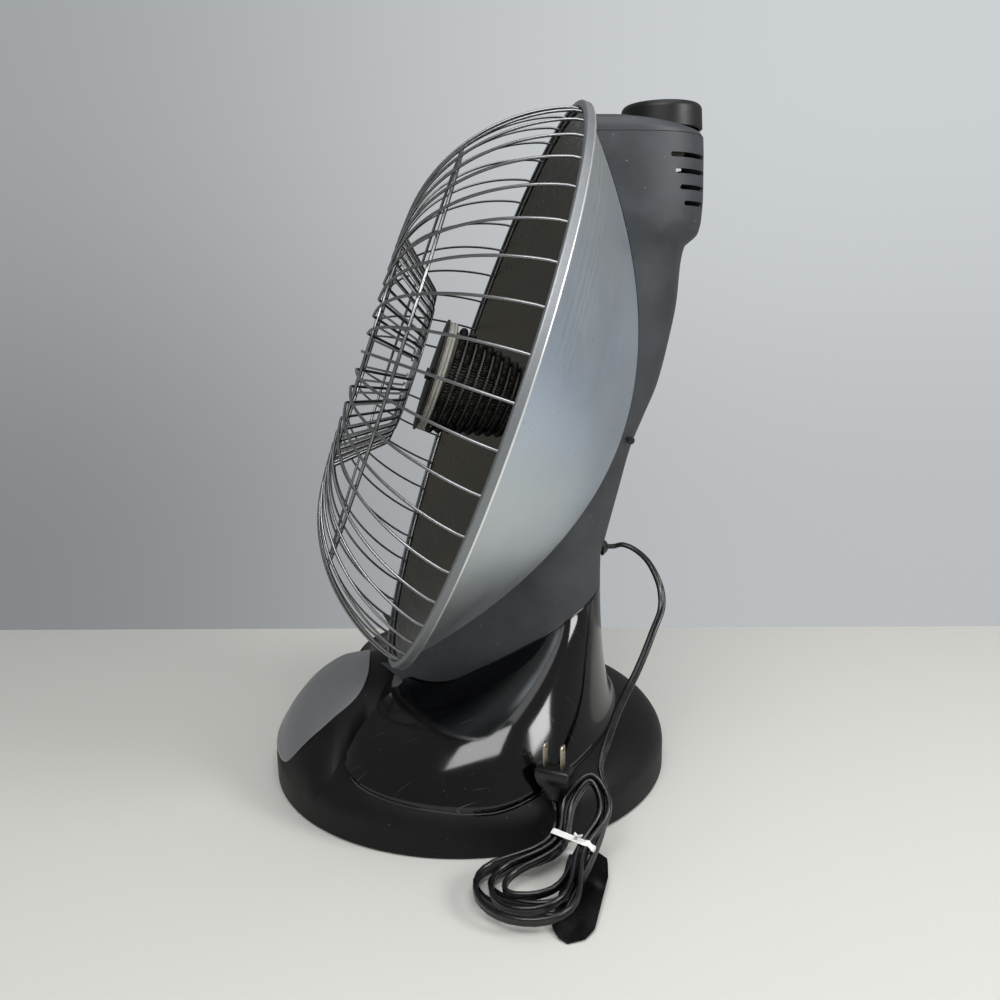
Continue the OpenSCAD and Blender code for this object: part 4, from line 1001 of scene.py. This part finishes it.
def make_element(sizes, look):
    """The cone with its resistance wire: a small winding laid along the cone's turns."""
    slope, pitch, rounds, start = tan(radians(14)), 7.7, 8.2, radians(-100)
    winding_r, widest_r, front_z = 3.3, 40.5, 24.5
    wire = sizes.coil_wire / MM
    lean = winding_r - wire / 2
    reach = 2 * pi * (widest_r - 4 * pitch * slope) * rounds
    small = int(reach / (sizes.coil_step / MM))
    line = []
    for u in shares(small * 9):
        a, b = start + 2 * pi * rounds * u, 2 * pi * small * u
        z = front_z - pitch * max(0, rounds * u - 0.2)
        r = widest_r + (z - front_z) * slope + lean * cos(b)
        line.append((r * cos(a), r * sin(a), z + lean * sin(b)))
    # the cone takes the darker steatite, painted shade between the turns
    fitting("element_core", "ceramic", look["cone"])
    coil = wires("heating_wire", line, wire / 2, DISH_FRAME, look["coil"], 5)
    settle(coil, "coil_dark", "element_coil")
    fitting("element_front_ring", "ceramic", look["ceramic"], sizes.edge / 2)
    fitting("element_cap", "cap_dark", look["cap"], sizes.edge / 2)
    fitting("element_bolt", "steel", look["dark_steel"], sizes.edge)
    fitting("element_collar", "steel", look["steel"])
    fitting("dish_bracket", "steel", look["steel"], sizes.edge / 2)
    fitting("terminal_block", "ceramic", look["ceramic"], sizes.edge)


# ---------- knob and switches ----------


def make_control(sizes, look):
    """The knob with its shaft and thermostat, and the switch under the base with its spring."""
    r, h, edge = 31.0, 20.0, 5.0
    bore, hub, web = 3.08, 7, h - 5.5
    rows = ([[hub, 1], [hub, h - 5], [r - 3, h - 5], [r - 2.5, 0.3], [r - 2.2, 0], [r - 0.5, 0], [r, 0.5]]
            + arc((r - 0.7 - edge, h - 1.5 - edge), edge, 0, 90, 14)
            + [[r * 0.6, h - 0.9], [r * 0.3, h - 0.2], [0, h], [0, web], [bore, web], [bore, 1]])
    knob = lathe("knob_look", rows, placed(0, KNOB_Y, KNOB_Z), 128)
    paint(knob, look["knob"])
    settle(knob, "knob_black", "control_knob", body="knob")
    fitting("control_shaft", "steel", look["steel"], body="knob")
    fitting("thermostat", "switch_body", look["switch"], sizes.edge)
    fitting("thermostat_nut", "steel", look["steel"], sizes.edge / 2)
    fitting("tip_switch", "switch_body", look["switch"], sizes.edge)
    fitting("tip_plunger", "plunger_red", look["plunger"], sizes.edge, "plunger")
    five_turns, rise = 10 * pi, SPRING_HIGH - SPRING_LOW
    line = [(SPRING_R * cos(five_turns * u), SPRING_R * sin(five_turns * u), SPRING_LOW + rise * u)
            for u in shares(240)]
    spring = wires("tip_spring_wire", line, 0.5, placed(0, SPRING_Y, 0), look["steel"], 10)
    settle(spring, "steel", "tip_spring")


# ---------- cord, plug, tie and tag ----------

# the free run of the cord, from the strain relief down to the bundle
CORD_POINTS = [[0, 118, 176], [0, 124, 176], [2, 131, 177.5], [6, 140, 174], [11, 149, 166], [17, 155, 155],
               [24, 158, 143], [33, 156, 130], [44, 147, 117], [58, 136.5, 104], [73, 125.5, 93],
               [90, 113, 84], [107, 102, 77], [123, 94, 71], [136, 88, 65]]
# the bundle's spine: its upper end, the point it bends towards and its lower end
HANK = [np.array(p, float) for p in ([148, 74, 60], [178, 72, 10], [238, 0, 7.3])]
HANK_LOOPS, HANK_STEPS, HANK_LAST = 5, 240, 236
HANK_START, HANK_END = 200, 360 * HANK_LOOPS + 125  # degrees round the loops
HANK_REACH, SPINE_LENGTH, HALF_LAYER = 54, 145, 4.1
PLUG_AT = np.array([157.0, 47, 40])


def hank_frame(t):
    """A point of the bundle's spine, with the lines along it, across it and up from it."""
    along = unit(bent(*HANK, t + 0.01) - bent(*HANK, t - 0.01))
    side = unit(np.cross(along, (0, 0, 1)))
    return bent(*HANK, t), along, side, np.cross(side, along)


def hank_point(u):
    """One point of the bundled cord at share u of its length, and the line across the bundle there.

    The tie pinches the loops at their waist; they lie in two layers and are widest at the cord's two ends.
    """
    a = radians(HANK_START + u * (HANK_END - HANK_START))
    outer = 2 * abs(2 * u - 1)
    climb = min(1, max(-1, (u - 0.5) * 2 * HANK_LOOPS))
    lower_end = max(0, cos(a))
    reach = HANK_REACH + 5 * climb * lower_end + 7.5 * outer + outer * cos(a)
    waist = sin(a) ** 6
    lobe = (13 + 11 * outer) * (1.22 + 0.66 * cos(a))
    across = sin(a) * ((1 - waist) * lobe + waist * (4.2 + 5.25 * outer)) + (13 - 8 * climb) * lower_end ** 2
    spine, _, side, top = hank_frame(0.5 + cos(a) * reach / SPINE_LENGTH)
    return spine + side * across + top * climb * HALF_LAYER, top


def make_tie(look):
    """A flat nylon tie: a strip round the bundle's waist, its two ends twisted together."""
    centre, along, side, top = hank_frame(0.5)
    half_side, half_top, bend = 17.2, 8.6, 5.0
    right, high = half_side - bend, half_top - bend
    loop = []
    for x, y, a in ((right, -high, -90), (right, high, 0), (-right, high, 90), (-right, -high, 180)):
        loop += arc((x, y), bend, a, a + 90, 10)
    path, ups = [], []
    for i, (x, y) in enumerate(loop):
        wave = 0.5 * sin(i * 0.9) + 0.3 * sin(i * 2.3 + 1)
        squeeze = 1 - 0.05 * (1 + sin(i * 0.55))
        path.append(at(*(centre + side * x * squeeze + top * y * squeeze + along * wave)))
        ups.append(side * x + top * y)
    strips = [tube("tie_strip", path, ups, [(2.1 * cos(a), 0.28 * sin(a)) for a in turns(14)], closed=True)]
    for phase in (0, pi):
        path, ups = [], []
        for u in shares(60):
            a = phase + 6 * pi * min(1, u * 1.5)
            spread = 0.6 + 7.8 * max(0, u - 0.66) ** 1.2
            across = side * cos(a) + along * sin(a)
            p = centre + top * (half_top - 0.6 + 9 * u) - side * (4 + 5 * u) + along * 1.5 * u
            path.append(at(*(p + spread * across)))
            ups.append(across)
        strips.append(tube("tie_end", path, ups, [(1.1 * cos(b), 0.3 * sin(b)) for b in turns(10)]))
    mesh = bmesh.new()
    for strip in strips:
        mesh.from_mesh(strip.data)
    tie = new_object("tie_strip_made", bpy.data.meshes.new("tie_strip_made"))
    mesh.to_mesh(tie.data)
    mesh.free()
    drop(*strips)
    soften(tie, 60)
    paint(tie, look["tie"])
    return settle(tie, "tie_white", "cord_tie")


def make_tag(look):
    """A vinyl tag hanging from the bundle onto the table, gently curled, with rounded corners."""
    long, thick, nx, ny = 88, 0.5, 56, 20
    grid = []
    for u in shares(nx):
        low = np.interp(u, (0, 0.05, 0.16, 0.7, 0.91, 1), (-3, -11, -15, -18, -16, -8))
        high = np.interp(u, (0, 0.04, 0.14, 0.92, 0.97, 1), (3, 8, 12, 11.2, 8, 4))
        edge = min(1, (1 - (2 * u - 1) ** 8) ** 0.25) if 0 < u < 1 else 0.3
        for v in shares(ny):
            curl = 2.6 * (abs(2 * v - 1) ** 2.2) * (0.3 + 0.7 * u) + 0.9 * sin(3.1 * u + 0.4) ** 2
            grid.append((long * u, (low + high) / 2 + (v - 0.5) * (high - low) * edge, curl))
    n, m = len(grid), ny + 1
    faces = []
    for i in range(nx):
        for a in range(i * m, i * m + ny):
            under = (a + 1, a + 1 + m, a + m, a)
            faces += [under, tuple(k + n for k in under[::-1])]
    rim = [i * m for i in range(nx)] + list(range(nx * m, nx * m + ny))
    rim += [i * m + ny for i in range(nx, 0, -1)] + list(range(ny, 0, -1))
    faces += [(a, b, b + n, a + n) for a, b in zip(rim, rim[1:] + rim[:1])]
    place = placed(255, 39, 0, radians(161.6), "Z") @ Matrix.Rotation(radians(-4), 4, "Y")
    tag = closed_piece("tag_sheet", grid + [(x, y, z + thick) for x, y, z in grid], faces, 50, place)
    paint(tag, look["tag"])
    return settle(tag, "cord_black", "cord_tag")


def make_cord(sizes, look):
    """The twin cord: its free run, the bundled hank and its end in the plug, as one swept section."""
    marks = [hank_point(i / HANK_STEPS) for i in range(HANK_LAST + 1)]
    hank = [p for p, _ in marks]
    free = through(CORD_POINTS + [hank[0] - 5 * unit(hank[2] - hank[0]), hank[0]], 5)[:-1]
    steps_to_plug = ((5, 0.5, -8), (1.5, 0.5, -4.5), (0, 0, -1.5), (0, 0, 0.5))
    tail = through([hank[-1]] + [PLUG_AT + p for p in steps_to_plug], 4)[1:]
    route = free + hank + tail
    sides = []
    for i, (_, top) in enumerate(marks):
        ahead, behind = hank[min(i + 1, HANK_LAST)], hank[max(i - 1, 0)]
        sides.append(unit(np.cross(unit(ahead - behind), top)))
    turn = 1 if sides[0][2] > 0 else -1
    # the flat cord twists from upright to the hank's lie over its last steps before the bundle
    twist = [min(1, max(0, (i - len(free) + 45) / 42)) for i in range(len(free))]
    ups = [unit((1 - s) * np.array((0, 0, 1.0)) + s * turn * sides[0]) for s in twist]
    ups += [turn * s for s in sides] + [turn * sides[-1]] * len(tail)
    section = []
    for lobe in (1, -1):
        section += [(lobe * (1.4 + x), lobe * y) for x, y in arc((0, 0), 1.7, -125, 125, 9)]
    # smooths the join of the free run and the hank
    near = range(len(free) - 26, len(free) + 16)
    for _ in range(30):
        smoother = {i: (route[i - 1] + 2 * route[i] + route[i + 1]) / 4 for i in near}
        for i, p in smoother.items():
            route[i] = p
    path = [at(*p) for p in route]
    cord = tube("cord", path, ups, section)
    paint(cord, look["cord"])
    settle(cord, "cord_black", "cord_free", "cord_hank")
    fitting("strain_relief", "cord_black", look["relief"], sizes.edge)
    plug = fitting("plug_body", "cord_black", look["cord"], 0.9 * MM)
    blades = fitting("plug_blades", "blade_nickel", look["blade"], 0.2 * MM)
    tie, tag = make_tie(look), make_tag(look)


# ---------- camera, light and floor ----------

# fitted to the photograph: the camera's place, turn, and focal length as a share of the picture's width
CAMERA_AT, FOCAL = Vector((0.7422, -0.06025, 0.3839)), 0.937
AZIMUTH, ELEVATION, ROLL = (radians(a) for a in (84.164, 12.440, -1.023))
# the table ends where the photograph shows the wall's foot, just behind the heater
WALL_FOOT = Vector((-0.3798, -0.5511, 0)), Vector((-0.2138, 0.6132, 0))
# strength of the even light, what glossy surfaces miss of it, and how much of the wall they show
EVEN_LIGHT, LESS_IN_GLOSS, WALL_IN_GLOSS = 0.3, 0.07, 0.18
# name, place, aim, width, height and power
LAMPS = (("Key", (0.95, -0.2, 1.25), (0.05, 0, 0.15), 0.9, 0.55, 12),
         ("Side", (0.9, 1.25, 0.95), (0, 0.05, 0.2), 0.6, 0.6, 15),
         ("Top", (0.2, 0.3, 1.9), (0, 0, 0.2), 1.2, 1.2, 8))


def make_camera(scene):
    """The camera that took the photograph."""
    back = Vector((sin(AZIMUTH) * cos(ELEVATION), -cos(AZIMUTH) * cos(ELEVATION), sin(ELEVATION)))
    right = (-back).cross(Vector((0, 0, 1))).normalized()
    up = right.cross(-back)
    camera = bpy.data.cameras.new("Camera")
    camera.sensor_width, camera.lens, camera.clip_start, camera.clip_end = 36, 36 * FOCAL, 0.05, 40
    eye = new_object("Camera", camera)
    place = Matrix((right * cos(ROLL) + up * sin(ROLL), up * cos(ROLL) - right * sin(ROLL), back))
    place = place.transposed().to_4x4()
    place.translation = CAMERA_AT
    eye.matrix_world = place
    scene.camera = eye


def make_world(scene):
    """Even white light, and a pale grey wall seen behind it, a little darker low down and to one side."""
    world = bpy.data.worlds.get("World") or bpy.data.worlds.new("World")
    scene.world = world
    world.use_nodes = True
    tree = world.node_tree
    tree.nodes.clear()
    ray = add(tree, "ShaderNodeLightPath").node.outputs
    power = add(tree, "ShaderNodeMath", (ray["Is Glossy Ray"], -LESS_IN_GLOSS, EVEN_LIGHT),
                operation="MULTIPLY_ADD")
    light = add(tree, "ShaderNodeBackground", {"Color": (1, 1, 1, 1), "Strength": power})
    towards = add(tree, "ShaderNodeTexCoord", output="Generated")
    sky = add(tree, "ShaderNodeSeparateXYZ", (towards,)).node.outputs
    soft = {"interpolation_type": "SMOOTHERSTEP"}
    # painted shadow on the wall: darker low down and towards one side, where the heater's shadow falls
    side = add(tree, "ShaderNodeMapRange", (sky["Y"], -0.55, 0.5, 0.0, 1.0), **soft)
    rise = add(tree, "ShaderNodeMapRange", (sky["Z"], -0.3, 0.25, 0.0, 1.0), **soft)
    part = add(tree, "ShaderNodeMath", (rise, 0.3), operation="MULTIPLY")
    both = add(tree, "ShaderNodeMath", (side, 0.7, part), operation="MULTIPLY_ADD")
    dim, pale = linear("#828487"), linear("#cdd1d3")
    tone = add(tree, "ShaderNodeMix", {SHARE: both, ONE: dim, TWO: pale}, **COLOURS)
    wall = add(tree, "ShaderNodeBackground", {"Color": tone, "Strength": 1.0})
    direct = ray["Is Camera Ray"], ray["Is Transmission Ray"]
    seen = add(tree, "ShaderNodeMath", direct, operation="MAXIMUM")
    reflected = add(tree, "ShaderNodeMath", (ray["Is Glossy Ray"], WALL_IN_GLOSS), operation="MULTIPLY")
    shown = add(tree, "ShaderNodeMath", (seen, reflected), operation="MAXIMUM")
    add(tree, "ShaderNodeOutputWorld", {"Surface": add(tree, "ShaderNodeMixShader", (shown, light, wall))})


def make_stage(sizes, look):
    """The camera, the table, the light of the room and three soft lamps."""
    scene = bpy.context.scene
    make_camera(scene)
    beyond = (WALL_FOOT[1] - WALL_FOOT[0]) * 2.2
    a, b = WALL_FOOT[0] - beyond, WALL_FOOT[1] + beyond
    floor = piece("floor", [a, (a.x + 3.4, a.y - 0.4, 0), (b.x + 3, b.y, 0), b], [(0, 1, 2, 3)])
    paint(floor, table_paint("Table, pale grey paint", linear("#cfcfca")))
    make_world(scene)
    for name, where, aim, wide, high, power in LAMPS:
        lamp = bpy.data.lights.new(name, "AREA")
        lamp.shape, lamp.size, lamp.size_y, lamp.energy = "RECTANGLE", wide, high, power
        obj = new_object(name, lamp)
        obj.location = where
        obj.rotation_euler = (Vector(aim) - Vector(where)).to_track_quat("-Z", "Y").to_euler()
    scene.view_settings.view_transform = "Standard"


# ---------- add-on ----------

STEPS = (("stage", "Camera, light and floor", make_stage), ("cord", "Cord, plug and tag", make_cord),
         ("base", "Base", make_base), ("badge", "Bare plate", make_badge),
         ("pedestal", "Pedestal", make_pedestal), ("housing", "Housing", make_housing),
         ("dish", "Reflector and band", make_dish),
         ("guard", "Wire guard", make_guard), ("element", "Heating element", make_element),
         ("control", "Knob and switches", make_control))


def operator_for(key, label, build):
    """One operator of the panel, which builds one part."""
    def execute(self, context):
        build(context.scene.heater_sizes, paints())
        return {"FINISHED"}
    doc = "Builds this part of the heater: " + label.lower()
    return type("HEATER_OT_" + key, (bpy.types.Operator,),
                {"bl_idname": "heater." + key, "bl_label": label, "__doc__": doc,
                 "bl_options": {"REGISTER", "UNDO"}, "execute": execute})


class HEATER_PT_panel(bpy.types.Panel):
    """Lists the sizes, the colours and the pieces of the heater."""
    bl_label = "Parabolic heater"
    bl_space_type = "VIEW_3D"
    bl_region_type = "UI"
    bl_category = "Heater"

    def draw(self, context):
        for group in (context.scene.heater_sizes, context.scene.heater_colours):
            box = self.layout.box()
            for name in group.__annotations__:
                box.prop(group, name)
        for key, _, _ in STEPS:
            self.layout.operator("heater." + key)


CLASSES = [HeaterSizes, HeaterColours, *(operator_for(*step) for step in STEPS), HEATER_PT_panel]


def register():
    for cls in CLASSES:
        bpy.utils.register_class(cls)
    bpy.types.Scene.heater_sizes = bpy.props.PointerProperty(type=HeaterSizes)
    bpy.types.Scene.heater_colours = bpy.props.PointerProperty(type=HeaterColours)


def unregister():
    del bpy.types.Scene.heater_sizes, bpy.types.Scene.heater_colours
    for cls in reversed(CLASSES):
        bpy.utils.unregister_class(cls)


def main():
    register()
    for key, _, _ in STEPS:
        getattr(bpy.ops.heater, key)()


if __name__ == "__main__":
    main()
